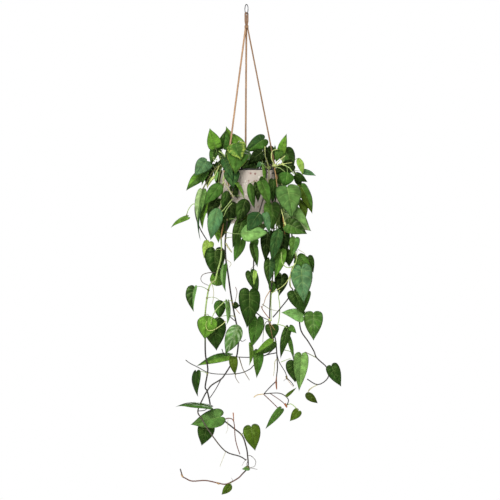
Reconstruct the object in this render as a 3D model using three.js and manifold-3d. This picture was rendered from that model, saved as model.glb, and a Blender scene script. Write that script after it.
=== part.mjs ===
// A heartleaf philodendron in a speckled pot that hangs from a ring by three leather laces.
// Millimetres, +Z up. The origin is the top of the ring's hole, where a hook carries it,
// and the front of the plant faces -Y.
import * as THREE from "three";
import { mergeVertices } from "three/addons/utils/BufferGeometryUtils.js";
import Module from "manifold-3d";

const wasm = await Module();
wasm.setup();

// Driving dimensions
const GAP = 0.3;
const RING = { hole: 13.2, wire: 1.4, turn: 19 };
const LOOP = { width: 12.6, depth: 9, top: -23.6, bottom: -61, neck: 4, end: -66 };
const BINDING = { hole: 4.3, outer: 6.2, belly: 6.8, top: -61.3, floor: -66.3, bottom: -71 };
const LACE = { width: 5.4, thick: 1.8, start: -71.9, spread: 3.6, level: -524, clear: 2.7, hole: 3.7,
  depth: 12, knot: 5.6 };
// Where each lace meets the pot, and the way its flat side lies, in degrees round from +X
const LACES = { lace_left: [217, 345], lace_right: [347, 48], lace_back: [97, 7] };
const POT = { x: 7, rim: -498, base: -658, sides: 24 };
// Radius and height of the pot's outer and inner wall, from the base up to the rim
const OUTER_WALL = [
  [62, -658], [77, -652], [87, -632], [92, -600], [90, -562], [85, -524], [80, -499.5],
];
const INNER_WALL = [
  [74.5, -499.5], [79, -524], [84, -562], [86, -600], [81, -629], [71, -646], [56, -650],
];
// The dark growing pot inside shows only its rim, which rests on the lip
const LINER = { inner: 72.6, wall: 74, rim: 78.6, bottom: -514, top: -493.2 };
const SOIL_TOP = [[80, -538], [52, -534]];
const SOIL_CENTRE = -531;
const STEM_HOLE = { floor: -546, rise: -524, clear: 0.8 };
const BLADE = { arch: 0.07, lift: -0.1 };
const PETIOLE = { root: 0.85, end: 0.7, steps: 2, sides: 3, behind: 0.3, inside: 0.07 };
// The vines that hang round the back: where each hangs, how many leaves, how far out and how far apart
const BACK = { turns: [34, 64, 94, 124, 153], leaves: [9, 6, 6, 5, 5], reach: 111, apart: 12, step: 31 };
const SEED = 5;

// Half of the heart's outline from the notch to the tip: share of length, share of half width
const HEART = [[-0.13, 0.42], [-0.03, 0.9], [0.24, 0.98], [0.6, 0.6]];
// The blade's thickness along its rib, by share of length: swollen where the petiole joins
const RIB = [[0.07, 2.2], [0.46, 1.2]];

// Each vine has the place of its root, its stems and its leaves. A stem is its thickness at both ends
// and its points; a later stem grows from the nearest point of the ones before it. A leaf is the x, y, z
// of its notch, of its tip, its width, the way it faces (0 front, 90 right), how far it looks up, and,
// where it is folded, the lift of its edges.
const VINES = {
  vine_left_side: {
    root: [-40, -8],
    stems: [
      [2.3, 1.2, [-52, -8, -498], [-70, -12, -482], [-90, -16, -490], [-108, -20, -512], [-126, -24, -545],
        [-146, -26, -580], [-154, -28, -604], [-153, -32, -633], [-143, -36, -666], [-127, -42, -696],
        [-106, -46, -726]],
      [1.6, 1, [-70, -12, -482], [-78, -26, -464], [-88, -36, -446]],
      [1, 0.8, [-154, -25, -600], [-163, -20, -601], [-174, -14, -615], [-180, -10, -632]],
    ],
    leaves: [
      [-93, -50, -430, -111, -56, -372, 44, -8, 0],
      [-70, -22, -432, -61, -18, -375, 38, 5, 0],
      [-43, 2, -420, -62, 6, -365, 30, -10, 0],
      [-93, -30, -429, -107, -34, -483, 32, -25, 0],
      [-119, -30, -471, -157, -46, -516, 50, -20, 0],
      [-130, -18, -507, -182, -28, -560, 36, -20, 0],
      [-115, -24, -492, -135, -30, -546, 24, -45, 0],
      [-106, -8, -483, -124, -12, -537, 30, -10, 0],
      [-90, -46, -504, -93, -54, -537, 14, -30, 0],
      [-103, -36, -522, -118, -40, -552, 9, -20, 0],
      [-134, -38, -561, -146, -48, -657, 38, -30, 0],
      [-124, -30, -600, -133, -38, -676, 28, -45, 0],
      [-178, -10, -639, -229, -14, -671, 20, -20, 30],
      [-112, -48, -714, -128, -50, -764, 34, -5, 0],
      [-138, -44, -600, -138, -52, -711, 24, -72, 0],
    ],
  },
  vine_crown_left: {
    root: [-15, -30],
    stems: [
      [2.1, 1.2, [-20, -40, -500], [-32, -58, -478], [-44, -76, -486], [-52, -92, -520], [-54, -98, -546]],
      [1.5, 1, [-20, -40, -500], [-22, -38, -470], [-22, -34, -446]],
    ],
    leaves: [
      [-17, -18, -432, -40, -16, -386, 38, 10, 0],
      [-33, -78, -420, -15, -102, -470, 60, 0, 10],
      [-22, -66, -435, -33, -124, -511, 68, 0, 0],
      [-66, -84, -468, -39, -120, -531, 30, -5, 0],
      [-46, -98, -501, -39, -120, -554, 48, -5, 0],
      [-28, -112, -537, -7, -120, -582, 26, 60, 0],
    ],
  },
  vine_long_left: {
    root: [-32, -32],
    stems: [
      [2.3, 1.5, [-38, -44, -496], [-50, -62, -480], [-64, -76, -502], [-72, -84, -560], [-78, -86, -640],
        [-76, -84, -708], [-75, -84, -747], [-79, -84, -774], [-88, -84, -804], [-94, -84, -828],
        [-112, -84, -849], [-124, -82, -930], [-124, -80, -1005], [-123, -78, -1053], [-117, -74, -1086],
        [-117, -72, -1107], [-124, -66, -1149], [-118, -66, -1161], [-112, -66, -1185], [-103, -66, -1218],
        [-70, -64, -1248], [-40, -62, -1272], [-13, -60, -1295], [-1, -60, -1329], [3, -60, -1353],
        [4, -60, -1389], [-13, -58, -1411], [-28, -58, -1425], [-61, -57, -1441], [-88, -56, -1437],
        [-124, -55, -1430], [-163, -54, -1432], [-184, -54, -1423], [-192, -54, -1417], [-199, -53, -1395]],
      [1.1, 1.1, [-70, -64, -1248], [-52, -66, -1243], [-38, -70, -1254], [-33, -74, -1308],
        [-20, -76, -1351]],
      [0.8, 1.6, [-36, -70, -1252], [-39, -71, -1240], [-40, -71, -1226]],
    ],
    leaves: [
      [-76, -92, -540, -127, -98, -603, 42, -15, 0],
      [-88, -80, -585, -118, -78, -642, 34, -10, 0],
      [-86, -118, -612, -108, -126, -708, 46, -8, 0],
      [-88, -88, -672, -84, -86, -717, 22, 0, 0],
      [-94, -68, -739, -93, -66, -822, 62, 0, 0],
      [-88, -58, -846, -85, -54, -786, 48, 5, 0],
      [-156, -84, -849, -159, -88, -924, 44, -35, 0, 0.55],
      [-81, -84, -888, -81, -80, -945, 36, 0, 0],
      [-112, -110, -935, -126, -114, -1005, 62, -5, 0],
      [-150, -76, -1104, -147, -78, -1179, 34, -40, 0],
      [-78, -74, -1238, -168, -76, -1262, 57, 0, 5],
      [-118, -64, -1264, -135, -62, -1326, 52, 0, 0],
      [14, -68, -1269, 26, -70, -1341, 53, 0, 0],
      [-46, -58, -1442, -75, -58, -1473, 24, 0, 0],
      [8, -60, -1392, -14, -62, -1396, 16, 0, 20],
    ],
  },
  vine_long_dark: {
    root: [-8, -46],
    stems: [
      [2.3, 1.5, [-14, -58, -494], [-24, -78, -480], [-28, -88, -508], [-38, -96, -545], [-50, -100, -600],
        [-58, -98, -650], [-62, -96, -693], [-64, -96, -720], [-62, -96, -765], [-56, -96, -805],
        [-47, -96, -870], [-37, -95, -927], [-32, -95, -951], [-24, -94, -993], [-28, -93, -1050],
        [-38, -92, -1068], [-62, -90, -1107], [-76, -89, -1125], [-104, -88, -1143], [-118, -88, -1161],
        [-130, -87, -1182], [-146, -86, -1221], [-134, -86, -1245], [-106, -85, -1290], [-64, -84, -1341],
        [-20, -78, -1357], [-1, -73, -1369]],
      [1.2, 0.9, [-76, -89, -1125], [-92, -84, -1155], [-110, -80, -1182]],
      [1, 0.9, [-146, -86, -1221], [-126, -88, -1219], [-116, -90, -1211]],
    ],
    leaves: [
      [-57, -106, -561, -72, -108, -618, 28, -5, 0],
      [-46, -97, -591, -52, -97, -660, 54, 0, 0],
      [-2, -103, -585, -28, -122, -660, 44, 0, 0],
      [-14, -118, -654, -42, -120, -732, 40, -5, 0],
      [-17, -150, -690, 65, -154, -686, 58, 5, 20],
      [-16, -104, -708, -38, -108, -774, 34, 5, 0],
      [-68, -104, -786, -64, -106, -864, 34, -55, 0],
      [-56, -112, -893, -58, -112, -963, 34, 62, 0],
      [-99, -92, -951, -90, -94, -1040, 71, 0, 0],
      [-38, -102, -903, -20, -102, -906, 22, 0, 0],
      [-24, -108, -963, -63, -114, -1050, 50, 0, 0],
      [-40, -104, -1062, -34, -104, -1113, 27, 0, 0],
      [-112, -92, -1207, -213, -92, -1205, 34, 0, 58],
      [-40, -96, -546, -27, -98, -585, 26, 0, 0],
      [-62, -92, -633, -73, -92, -702, 40, 0, 0],
    ],
  },
  vine_centre: {
    root: [32, -42],
    stems: [
      [2.2, 1.4, [42, -56, -491], [54, -76, -482], [60, -94, -505], [56, -106, -545], [48, -112, -590],
        [34, -116, -640], [22, -110, -690], [22, -106, -760], [18, -100, -850], [14, -98, -920],
        [16, -96, -1010]],
    ],
    leaves: [
      [50, -98, -483, 51, -110, -540, 32, 70, 0],
      [50, -114, -522, 36, -118, -540, 17, 0, 0],
      [10, -104, -537, 24, -118, -615, 24, -10, 0],
      [32, -102, -540, 34, -106, -597, 24, 0, 0],
      [46, -120, -534, 69, -130, -612, 36, 15, 0],
      [4, -100, -639, -16, -100, -690, 27, 0, 0],
      [39, -128, -627, 2, -162, -681, 50, -5, 0],
      [26, -112, -708, 16, -112, -750, 25, 0, 0],
      [20, -118, -723, 33, -120, -790, 26, 5, 0],
      [9, -124, -862, 1, -128, -972, 66, 0, 0],
      [32, -104, -945, 14, -108, -1032, 48, 10, 0],
      [14, -108, -1020, 9, -110, -1086, 30, 62, 0],
      [12, -110, -804, 34, -112, -870, 37, 0, 0],
      [26, -114, -804, 22, -116, -846, 14, 20, 0],
      [32, -106, -897, 34, -106, -924, 15, 0, 0],
    ],
  },
  vine_crown_centre: {
    root: [20, 12],
    stems: [[2, 1.2, [28, 14, -498], [38, 10, -470], [50, 4, -438]]],
    leaves: [
      [52, 0, -405, -8, -12, -444, 45, 0, 10],
      [46, -20, -444, 4, -40, -483, 37, 0, 5],
      [46, -42, -478, 28, -52, -490, 17, 0, 0],
      [10, 6, -470, -18, -8, -500, 40, -10, 20],
      [46, 20, -438, 30, 16, -495, 46, 0, 0],
      [64, 34, -429, 72, 36, -486, 38, 0, 0],
    ],
  },
  vine_crown_right: {
    root: [42, -20],
    stems: [
      [2, 1.3, [56, -25, -500], [70, -31, -488], [83, -35, -486], [100, -32, -484], [118, -24, -482],
        [142, -12, -500], [156, -2, -516]],
      [0.9, 1.3, [92, -34, -486], [108, -34, -480], [113, -34, -479]],
    ],
    leaves: [
      [124, -58, -504, 113, -64, -549, 48, 0, 0],
      [136, -36, -483, 74, -46, -510, 40, 0, 0],
      [116, -20, -438, 140, -24, -498, 50, 15, 0],
      [104, -30, -444, 121, -32, -388, 27, 5, 0],
      [100, -34, -440, 88, -36, -474, 26, 0, 0],
      [156, -20, -461, 170, -24, -513, 24, 30, 0],
      [170, -6, -501, 210, -8, -515, 20, 0, 25],
      [146, -6, -513, 184, -6, -534, 26, 0, 0],
      [152, 8, -522, 166, 8, -552, 21, 0, 0],
    ],
  },
  vine_right: {
    root: [54, 5],
    stems: [
      [2.2, 1.4, [68, 4, -496], [90, 2, -482], [103, -3, -508], [108, -18, -560], [112, -36, -620],
        [122, -58, -680], [146, -78, -744], [146, -88, -780], [134, -92, -804], [130, -92, -843],
        [138, -90, -864], [100, -96, -915], [79, -95, -940]],
    ],
    leaves: [
      [122, -86, -549, 136, -102, -644, 78, 12, 0],
      [164, -48, -546, 198, -56, -630, 40, 25, 0],
      [128, -70, -624, 194, -80, -681, 62, 5, 0],
      [166, -52, -588, 176, -58, -648, 28, 15, 0],
      [122, -109, -660, 182, -113, -690, 50, 0, 10],
      [146, -108, -702, 136, -112, -760, 32, 0, 0],
      [153, -94, -762, 197, -98, -795, 42, 0, 0],
      [184, -84, -759, 201, -86, -807, 32, 10, 0],
      [128, -76, -738, 128, -78, -789, 37, 0, 0],
      [164, -110, -792, 172, -118, -897, 66, 0, 0],
      [115, -60, -636, 118, -64, -738, 30, 0, 0],
    ],
  },
  vine_far_right: {
    root: [50, 24],
    stems: [
      [2.2, 1.3, [64, 26, -495], [86, 28, -482], [108, 24, -530], [124, 4, -600], [136, -26, -690],
        [148, -56, -790], [154, -74, -870], [158, -82, -942], [164, -82, -981], [184, -80, -1011],
        [202, -80, -1041], [211, -80, -1062], [242, -78, -1092], [244, -78, -1122], [214, -76, -1142],
        [182, -76, -1125]],
      [0.9, 0.8, [211, -80, -1062], [194, -79, -1053], [178, -82, -1045]],
      [0.9, 0.8, [214, -76, -1142], [190, -74, -1155], [184, -74, -1167]],
    ],
    leaves: [
      [142, -98, -861, 172, -101, -932, 50, 5, 0],
      [182, -86, -864, 170, -88, -930, 26, 0, 0],
      [170, -96, -936, 104, -94, -924, 46, 0, 35],
      [201, -98, -927, 201, -104, -1010, 58, 0, 0],
      [143, -70, -1074, 146, -72, -1136, 52, 0, 0],
      [165, -92, -1053, 158, -98, -1161, 46, 5, 0],
      [255, -82, -1086, 284, -86, -1148, 42, 0, 0],
      [178, -74, -1168, 214, -76, -1198, 24, 0, 0],
    ],
  },
  vine_right_centre: {
    root: [46, -28],
    stems: [
      [2.2, 1.4, [56, -42, -491], [70, -58, -483], [84, -72, -508], [88, -80, -560], [84, -86, -620],
        [82, -88, -680], [82, -88, -760], [78, -88, -820], [72, -88, -870], [70, -86, -948],
        [80, -85, -981], [88, -84, -1014], [92, -82, -1068], [93, -82, -1092], [90, -80, -1119],
        [90, -80, -1136]],
      [1.7, 0.6, [90, -80, -1134], [91, -80, -1156]],
      [1.3, 1.1, [86, -79, -1131], [70, -77, -1150], [52, -76, -1170]],
      [1, 0.8, [51, -76, -1169], [32, -74, -1173], [22, -74, -1180]],
      [1.2, 1.2, [52, -76, -1169], [92, -79, -1167], [112, -80, -1173], [126, -80, -1188], [120, -78, -1205]],
      [1, 1, [70, -78, -1168], [100, -74, -1188], [119, -77, -1204]],
      [0.8, 0.8, [51, -76, -1172], [80, -70, -1198], [96, -70, -1214]],
      [0.8, 0.8, [121, -78, -1204], [134, -76, -1200], [152, -76, -1215]],
      [1.1, 0.9, [90, -83, -1047], [98, -80, -1074], [116, -78, -1104], [122, -76, -1122], [134, -76, -1134],
        [142, -76, -1146]],
      [1.2, 1, [76, -86, -966], [94, -92, -960], [100, -90, -912], [96, -90, -876], [100, -90, -858]],
      [1.1, 1.1, [66, -87, -946], [50, -90, -920], [44, -90, -906]],
      [1.1, 0.9, [96, -90, -962], [112, -86, -966], [126, -84, -974]],
      [1.3, 0.9, [74, -80, -1047], [46, -70, -1058], [20, -64, -1086], [8, -60, -1097], [-20, -58, -1108],
        [-68, -56, -1111], [-112, -54, -1107], [-146, -52, -1090], [-170, -50, -1078], [-183, -50, -1068]],
      [1.3, 0.9, [86, -82, -1026], [58, -72, -1054], [16, -64, -1060], [-28, -62, -1059], [-56, -60, -1054],
        [-68, -60, -1050], [-74, -60, -1035]],
    ],
    leaves: [
      [76, -104, -600, 76, -112, -681, 50, 5, 0],
      [56, -118, -629, 70, -120, -692, 24, 0, 0],
      [98, -108, -675, 76, -114, -774, 38, 0, 0],
      [64, -104, -684, 56, -106, -774, 40, 0, 0],
      [109, -85, -682, 104, -87, -778, 44, 0, 0],
      [104, -96, -738, 84, -100, -825, 38, 0, 0],
      [70, -104, -768, 66, -108, -843, 34, 0, 0],
      [106, -76, -813, 98, -78, -876, 42, 0, 0],
      [82, -76, -834, 74, -78, -873, 27, 0, 0],
      [76, -94, -963, 76, -96, -1011, 42, 0, 0],
      [124, -86, -975, 102, -88, -1064, 27, 0, 0],
      [128, -84, -1002, 142, -86, -1071, 16, 30, 0],
      [130, -90, -968, 150, -94, -988, 19, 0, 0],
      [-52, -62, -1056, -151, -58, -1087, 36, 0, 40],
      [81, -98, -1014, 21, -100, -1053, 36, 0, 0],
      [36, -86, -1041, 30, -88, -1123, 32, 0, 0],
      [120, -80, -1176, 151, -78, -1150, 10, 0, 0],
      [104, -72, -1215, 56, -70, -1276, 23, 0, 0],
      [156, -76, -1221, 130, -76, -1252, 28, 0, 0],
      [80, -80, -528, 79, -84, -600, 28, 0, 0],
    ],
  },
};

// A point at a distance and a turn from the pot's axis
function turned(radius, degrees, z) {
  const a = THREE.MathUtils.degToRad(degrees);
  return new THREE.Vector3(POT.x + radius * Math.cos(a), radius * Math.sin(a), z);
}

// A closed geometry as a solid, and a solid as a geometry
function toSolid(geometry) {
  geometry.deleteAttribute("normal");
  geometry.deleteAttribute("uv");
  const merged = mergeVertices(geometry, 1e-4);
  return new wasm.Manifold(
    new wasm.Mesh({
      numProp: 3,
      vertProperties: new Float32Array(merged.attributes.position.array),
      triVerts: new Uint32Array(merged.index.array),
    }),
  );
}

function toGeometry(solid) {
  const mesh = solid.getMesh();
  const geometry = new THREE.BufferGeometry();
  geometry.setAttribute("position", new THREE.BufferAttribute(new Float32Array(mesh.vertProperties), 3));
  geometry.setIndex(new THREE.BufferAttribute(new Uint32Array(mesh.triVerts), 1));
  geometry.computeVertexNormals();
  return geometry;
}

function indexed(points, faces) {
  const geometry = new THREE.BufferGeometry();
  geometry.setFromPoints(points);
  geometry.setIndex(faces.flat());
  return geometry;
}

// Rings of corners joined into a closed skin, each end capped by a fan
function skin(rings) {
  const sides = rings[0].length;
  const last = (rings.length - 1) * sides;
  const faces = [];
  for (let i = 0; i + 1 < rings.length; i++) {
    for (let j = 0; j < sides; j++) {
      const [a, b] = [i * sides + j, i * sides + ((j + 1) % sides)];
      faces.push([a, b, b + sides], [a, b + sides, a + sides]);
    }
  }
  for (let j = 1; j + 1 < sides; j++) {
    faces.push([0, j + 1, j], [last, last + j, last + j + 1]);
  }
  return indexed(rings.flat(), faces);
}

// A round limb along its points, from one radius to the other
function limb(points, start, end, sides) {
  const rings = [];
  let across = new THREE.Vector3(0.31, 0.9, 0.17);
  points.forEach((point, i) => {
    const before = points[Math.max(i - 1, 0)];
    const after = points[Math.min(i + 1, points.length - 1)];
    const along = after.clone().sub(before).normalize();
    across = across.clone().addScaledVector(along, -across.dot(along)).normalize();
    const up = along.clone().cross(across);
    const radius = THREE.MathUtils.lerp(start, end, i / (points.length - 1));
    rings.push(
      Array.from({ length: sides }, (_, j) => {
        const turn = (2 * Math.PI * j) / sides;
        const [c, s] = [radius * Math.cos(turn), radius * Math.sin(turn)];
        return point.clone().addScaledVector(across, c).addScaledVector(up, s);
      }),
    );
  });
  return toSolid(skin(rings));
}

// A flat lace along its points, its width as near to one level direction as its course lets it be
function lace(points, flat) {
  const rings = points.map((point, i) => {
    const before = points[Math.max(i - 1, 0)];
    const after = points[Math.min(i + 1, points.length - 1)];
    const along = after.clone().sub(before).normalize();
    const wide = flat.clone().addScaledVector(along, -flat.dot(along)).normalize();
    const thin = along.clone().cross(wide);
    return [[1, 1], [-1, 1], [-1, -1], [1, -1]].map(([w, t]) =>
      point
        .clone()
        .addScaledVector(wide, (w * LACE.width) / 2)
        .addScaledVector(thin, (t * LACE.thick) / 2),
    );
  });
  return toSolid(skin(rings));
}

// A point of a leaf's blade: its share of the length from the notch, and of the half width
function onBlade(leaf, along, across) {
  const [bx, by, bz, tx, ty, tz, width, facing, up, lift = BLADE.lift] = leaf;
  const base = new THREE.Vector3(bx, by, bz);
  const rib = new THREE.Vector3(tx, ty, tz).sub(base);
  const length = rib.length();
  rib.normalize();
  const [a, e] = [THREE.MathUtils.degToRad(facing), THREE.MathUtils.degToRad(up)];
  const face = new THREE.Vector3(Math.sin(a) * Math.cos(e), -Math.cos(a) * Math.cos(e), Math.sin(e));
  face.addScaledVector(rib, -face.dot(rib)).normalize();
  const side = rib.clone().cross(face);
  const half = width / 2;
  const rise = BLADE.arch * length * 4 * along * (1 - along) + half * lift * Math.abs(across);
  return base
    .clone()
    .addScaledVector(rib, length * along)
    .addScaledVector(side, half * across * Math.sqrt(1 - 0.8 * lift * lift))
    .addScaledVector(face, rise);
}

// The nearest point on a vine's stems
function nearest(paths, to) {
  let best = null;
  for (const path of paths) {
    for (let i = 0; i + 1 < path.length; i++) {
      const spot = new THREE.Line3(path[i], path[i + 1]).closestPointToPoint(to, true, new THREE.Vector3());
      if (!best || spot.distanceTo(to) < best.distanceTo(to)) {
        best = spot;
      }
    }
  }
  return best;
}

// A heart-shaped blade, sharp at its edge and thick along the rib, split alike on both faces
function blade(leaf) {
  const n = HEART.length;
  const [notch, tip] = [onBlade(leaf, 0, 0), onBlade(leaf, 1, 0)];
  const side = onBlade(leaf, 0, 1).sub(onBlade(leaf, 0, -1));
  const face = side.cross(tip.clone().sub(notch)).normalize();
  const points = [notch, ...HEART.map(([a, c]) => onBlade(leaf, a, c)), tip];
  points.push(...HEART.map(([a, c]) => onBlade(leaf, a, -c)));
  for (const sign of [1, -1]) {
    points.push(...RIB.map(([a, thick]) => onBlade(leaf, a, 0).addScaledVector(face, (sign * thick) / 2)));
  }
  const half = (edge, r) => [
    [0, edge, r], [edge, edge + 1, r], [edge + 1, edge + 2, r], [edge + 2, r + 1, r],
    [edge + 2, edge + 3, r + 1], [edge + 3, n + 1, r + 1],
  ];
  const back = ([p, q, w]) => [p, w, q];
  const [right, left, top, under] = [1, n + 2, 2 * n + 2, 2 * n + 2 + RIB.length];
  return toSolid(
    indexed(points, [...half(right, top), ...half(left, under), ...half(right, under).map(back),
      ...half(left, top).map(back)]),
  );
}

// A petiole leaves the stem, bends up behind the blade and ends inside it, just past the notch
function petiole(leaf, paths) {
  const end = onBlade(leaf, PETIOLE.inside, 0);
  const rib = onBlade(leaf, 1, 0).sub(end).normalize();
  const start = nearest(paths, onBlade(leaf, 0, 0));
  const away = start.distanceTo(end);
  const bend = start.clone().lerp(end, 0.6).addScaledVector(rib, -PETIOLE.behind * away);
  const curve = new THREE.QuadraticBezierCurve3(start, bend, end);
  return limb(curve.getPoints(PETIOLE.steps), PETIOLE.root, PETIOLE.end, PETIOLE.sides);
}

function vine({ root, stems, leaves }) {
  const paths = [];
  const parts = [];
  stems.forEach(([start, end, ...points], i) => {
    const path = points.map((point) => new THREE.Vector3(...point));
    if (i === 0) {
      path.unshift(new THREE.Vector3(root[0], root[1], STEM_HOLE.rise));
      path.unshift(new THREE.Vector3(root[0], root[1], STEM_HOLE.floor + GAP));
    } else {
      path.unshift(nearest(paths, path.shift()));
    }
    parts.push(limb(path, start, end, i === 0 ? 4 : 3));
    paths.push(path.slice(i === 0 ? 2 : 0));
  });
  for (const leaf of leaves) {
    parts.push(blade(leaf), petiole(leaf, paths));
  }
  return parts.reduce((whole, part) => whole.add(part));
}

// The vines round the back hang down the pot's wall, with leaves to both sides in turn
let state = SEED;
function draw(low, high) {
  state = (state * 16807) % 2147483647;
  return low + ((high - low) * state) / 2147483647;
}

function backVine(turn, count) {
  const at = (radius, shift, z) => turned(radius, turn + shift, z).toArray();
  const stem = [at(60, 0, -496), at(84, 0, -481), at(98, 0, -505)];
  for (let i = 1; i < count - 1; i++) {
    stem.push(at(101, i % 2 ? 1 : -1, -505 - BACK.step * i));
  }
  const leaves = [[...at(88, 2, -466), ...at(100, 4, -420), 40, turn + 90, 0]];
  for (let i = 0; i < count; i++) {
    const side = i % 2 ? 1 : -1;
    const z = -476 - BACK.step * i + draw(-4, 4);
    const size = draw(44, 54);
    const reach = BACK.reach + (i % 2) * BACK.apart + draw(-1.5, 1.5);
    leaves.push([
      ...at(reach, side * draw(4, 6), z),
      ...at(reach + draw(9, 12), side * draw(9, 12), z - size * 1.15),
      size * 0.9,
      turn + 90 + side * 12,
      0,
    ]);
  }
  return { root: at(46, 0, 0).slice(0, 2), stems: [[2, 1.2, ...stem]], leaves };
}

BACK.turns.forEach((turn, i) => {
  VINES[`vine_back_${i + 1}`] = backVine(turn, BACK.leaves[i]);
});

// The ring hangs upright and is seen nearly edge on
function wireRing(thick) {
  const ring = new THREE.TorusGeometry(RING.hole + RING.wire, thick, 8, 20);
  ring.rotateX(Math.PI / 2);
  ring.rotateZ(Math.PI / 2 + THREE.MathUtils.degToRad(RING.turn));
  ring.translate(0, 0, -RING.hole);
  return toSolid(ring);
}

// The laces fold over the ring's wire, lie side by side below it and narrow to a neck
function laceLoop() {
  const { width, depth, top, bottom, neck, end } = LOOP;
  const middle = top - width / 2;
  const fold = new THREE.CylinderGeometry(width / 2, width / 2, depth, 16);
  fold.translate(0, 0, middle);
  const bundle = new THREE.BoxGeometry(width, depth, middle - bottom);
  bundle.translate(0, 0, (middle + bottom) / 2);
  const stub = new THREE.CylinderGeometry(neck, neck, middle - end, 12);
  stub.rotateX(Math.PI / 2);
  stub.translate(0, 0, (middle + end) / 2);
  return toSolid(fold).add(toSolid(bundle)).add(toSolid(stub)).subtract(wireRing(RING.wire + GAP));
}

// A turned lace binds the neck
function laceBinding() {
  const { hole, outer, belly, top, floor, bottom } = BINDING;
  const profile = [[0, bottom], [outer, bottom], [belly, (top + bottom) / 2], [outer, top], [hole, top],
    [hole, floor], [0, floor]];
  const wrap = new THREE.LatheGeometry(profile.map(([r, z]) => new THREE.Vector2(r, z)), 16);
  wrap.rotateX(Math.PI / 2);
  return toSolid(wrap);
}

// A lace runs straight from the binding past the rim, turns in through its hole and is knotted inside
function hangingLace(turn, way) {
  const [a, b] = [THREE.MathUtils.degToRad(turn), THREE.MathUtils.degToRad(way)];
  const flat = new THREE.Vector3(Math.cos(b), Math.sin(b), 0);
  const wall = OUTER_WALL.find(([, z]) => z >= LACE.level)[0];
  const start = new THREE.Vector3(LACE.spread * Math.cos(a), LACE.spread * Math.sin(a), LACE.start);
  const points = [
    start,
    turned(OUTER_WALL.at(-1)[0] + LACE.clear, turn, POT.rim),
    turned(wall + LACE.clear, turn, LACE.level),
    turned(wall - LACE.depth, turn, LACE.level),
  ];
  const knot = new THREE.OctahedronGeometry(LACE.knot, 1);
  const place = turned(wall - LACE.depth - LACE.knot / 2, turn, LACE.level);
  knot.translate(place.x, place.y, place.z);
  return lace(points, flat).add(toSolid(knot));
}

function lathe(profile) {
  const shape = new THREE.LatheGeometry(profile.map(([r, z]) => new THREE.Vector2(r, z)), POT.sides);
  shape.rotateX(Math.PI / 2);
  shape.translate(POT.x, 0, 0);
  return toSolid(shape);
}

function pot() {
  const lip = [[79, POT.rim], [75.5, POT.rim]];
  let body = lathe([[0, POT.base], ...OUTER_WALL, ...lip, ...INNER_WALL, [0, INNER_WALL.at(-1)[1]]]);
  for (const [turn] of Object.values(LACES)) {
    const hole = new THREE.CylinderGeometry(LACE.hole, LACE.hole, 2 * LACE.depth, 12);
    hole.rotateZ(Math.PI / 2);
    hole.rotateZ(THREE.MathUtils.degToRad(turn));
    const place = turned(OUTER_WALL.at(-2)[0], turn, LACE.level);
    hole.translate(place.x, place.y, place.z);
    body = body.subtract(toSolid(hole));
  }
  return body;
}

function linerRim() {
  const { inner, wall, rim, bottom, top } = LINER;
  const seat = POT.rim + GAP;
  return lathe([
    [inner, bottom], [wall, bottom], [wall, seat], [rim, seat], [rim, top], [inner, top], [inner, bottom],
  ]);
}

function soil() {
  const wall = INNER_WALL.filter(([, z]) => z < SOIL_TOP[0][1]).reverse();
  const side = wall.map(([r, z]) => [r - GAP, z + GAP]);
  let body = lathe([[0, side[0][1]], ...side, ...SOIL_TOP, [0, SOIL_CENTRE]]);
  for (const { root, stems } of Object.values(VINES)) {
    const radius = stems[0][0] + STEM_HOLE.clear;
    const hole = new THREE.CylinderGeometry(radius, radius, STEM_HOLE.rise - STEM_HOLE.floor, 6);
    hole.rotateX(Math.PI / 2);
    hole.translate(root[0], root[1], (STEM_HOLE.rise + STEM_HOLE.floor) / 2);
    body = body.subtract(toSolid(hole));
  }
  return body;
}

const MATERIALS = {
  metal: new THREE.MeshStandardMaterial({ color: 0x4a4a4c, roughness: 0.3, metalness: 1 }),
  leather: new THREE.MeshStandardMaterial({ color: 0xb8916a, roughness: 0.75 }),
  ceramic: new THREE.MeshStandardMaterial({ color: 0xbdb0a6, roughness: 0.8 }),
  plastic: new THREE.MeshStandardMaterial({ color: 0x161616, roughness: 0.5 }),
  soil: new THREE.MeshStandardMaterial({ color: 0x2b2018, roughness: 1 }),
};
const GREENS = [0x2f5a25, 0x3f7a35, 0x1f3a14, 0x5b8f63, 0x4c7a2c];

const plant = new THREE.Group();
function place(name, solid, material) {
  const mesh = new THREE.Mesh(toGeometry(solid), material);
  mesh.name = name;
  plant.add(mesh);
}

place("hang_ring", wireRing(RING.wire), MATERIALS.metal);
place("lace_loop", laceLoop(), MATERIALS.leather);
place("lace_binding", laceBinding(), MATERIALS.leather);
for (const [name, [turn, way]] of Object.entries(LACES)) {
  place(name, hangingLace(turn, way), MATERIALS.leather);
}
place("pot", pot(), MATERIALS.ceramic);
place("liner_rim", linerRim(), MATERIALS.plastic);
place("soil", soil(), MATERIALS.soil);
Object.entries(VINES).forEach(([name, plan], i) => {
  const green = new THREE.MeshStandardMaterial({ color: GREENS[i % GREENS.length], roughness: 0.5 });
  place(name, vine(plan), green);
});

export default plant;
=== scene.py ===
# A trailing heartleaf philodendron in a speckled pot, hung from a metal ring by three leather laces
import math
import random
import bpy
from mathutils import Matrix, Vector, noise


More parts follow.
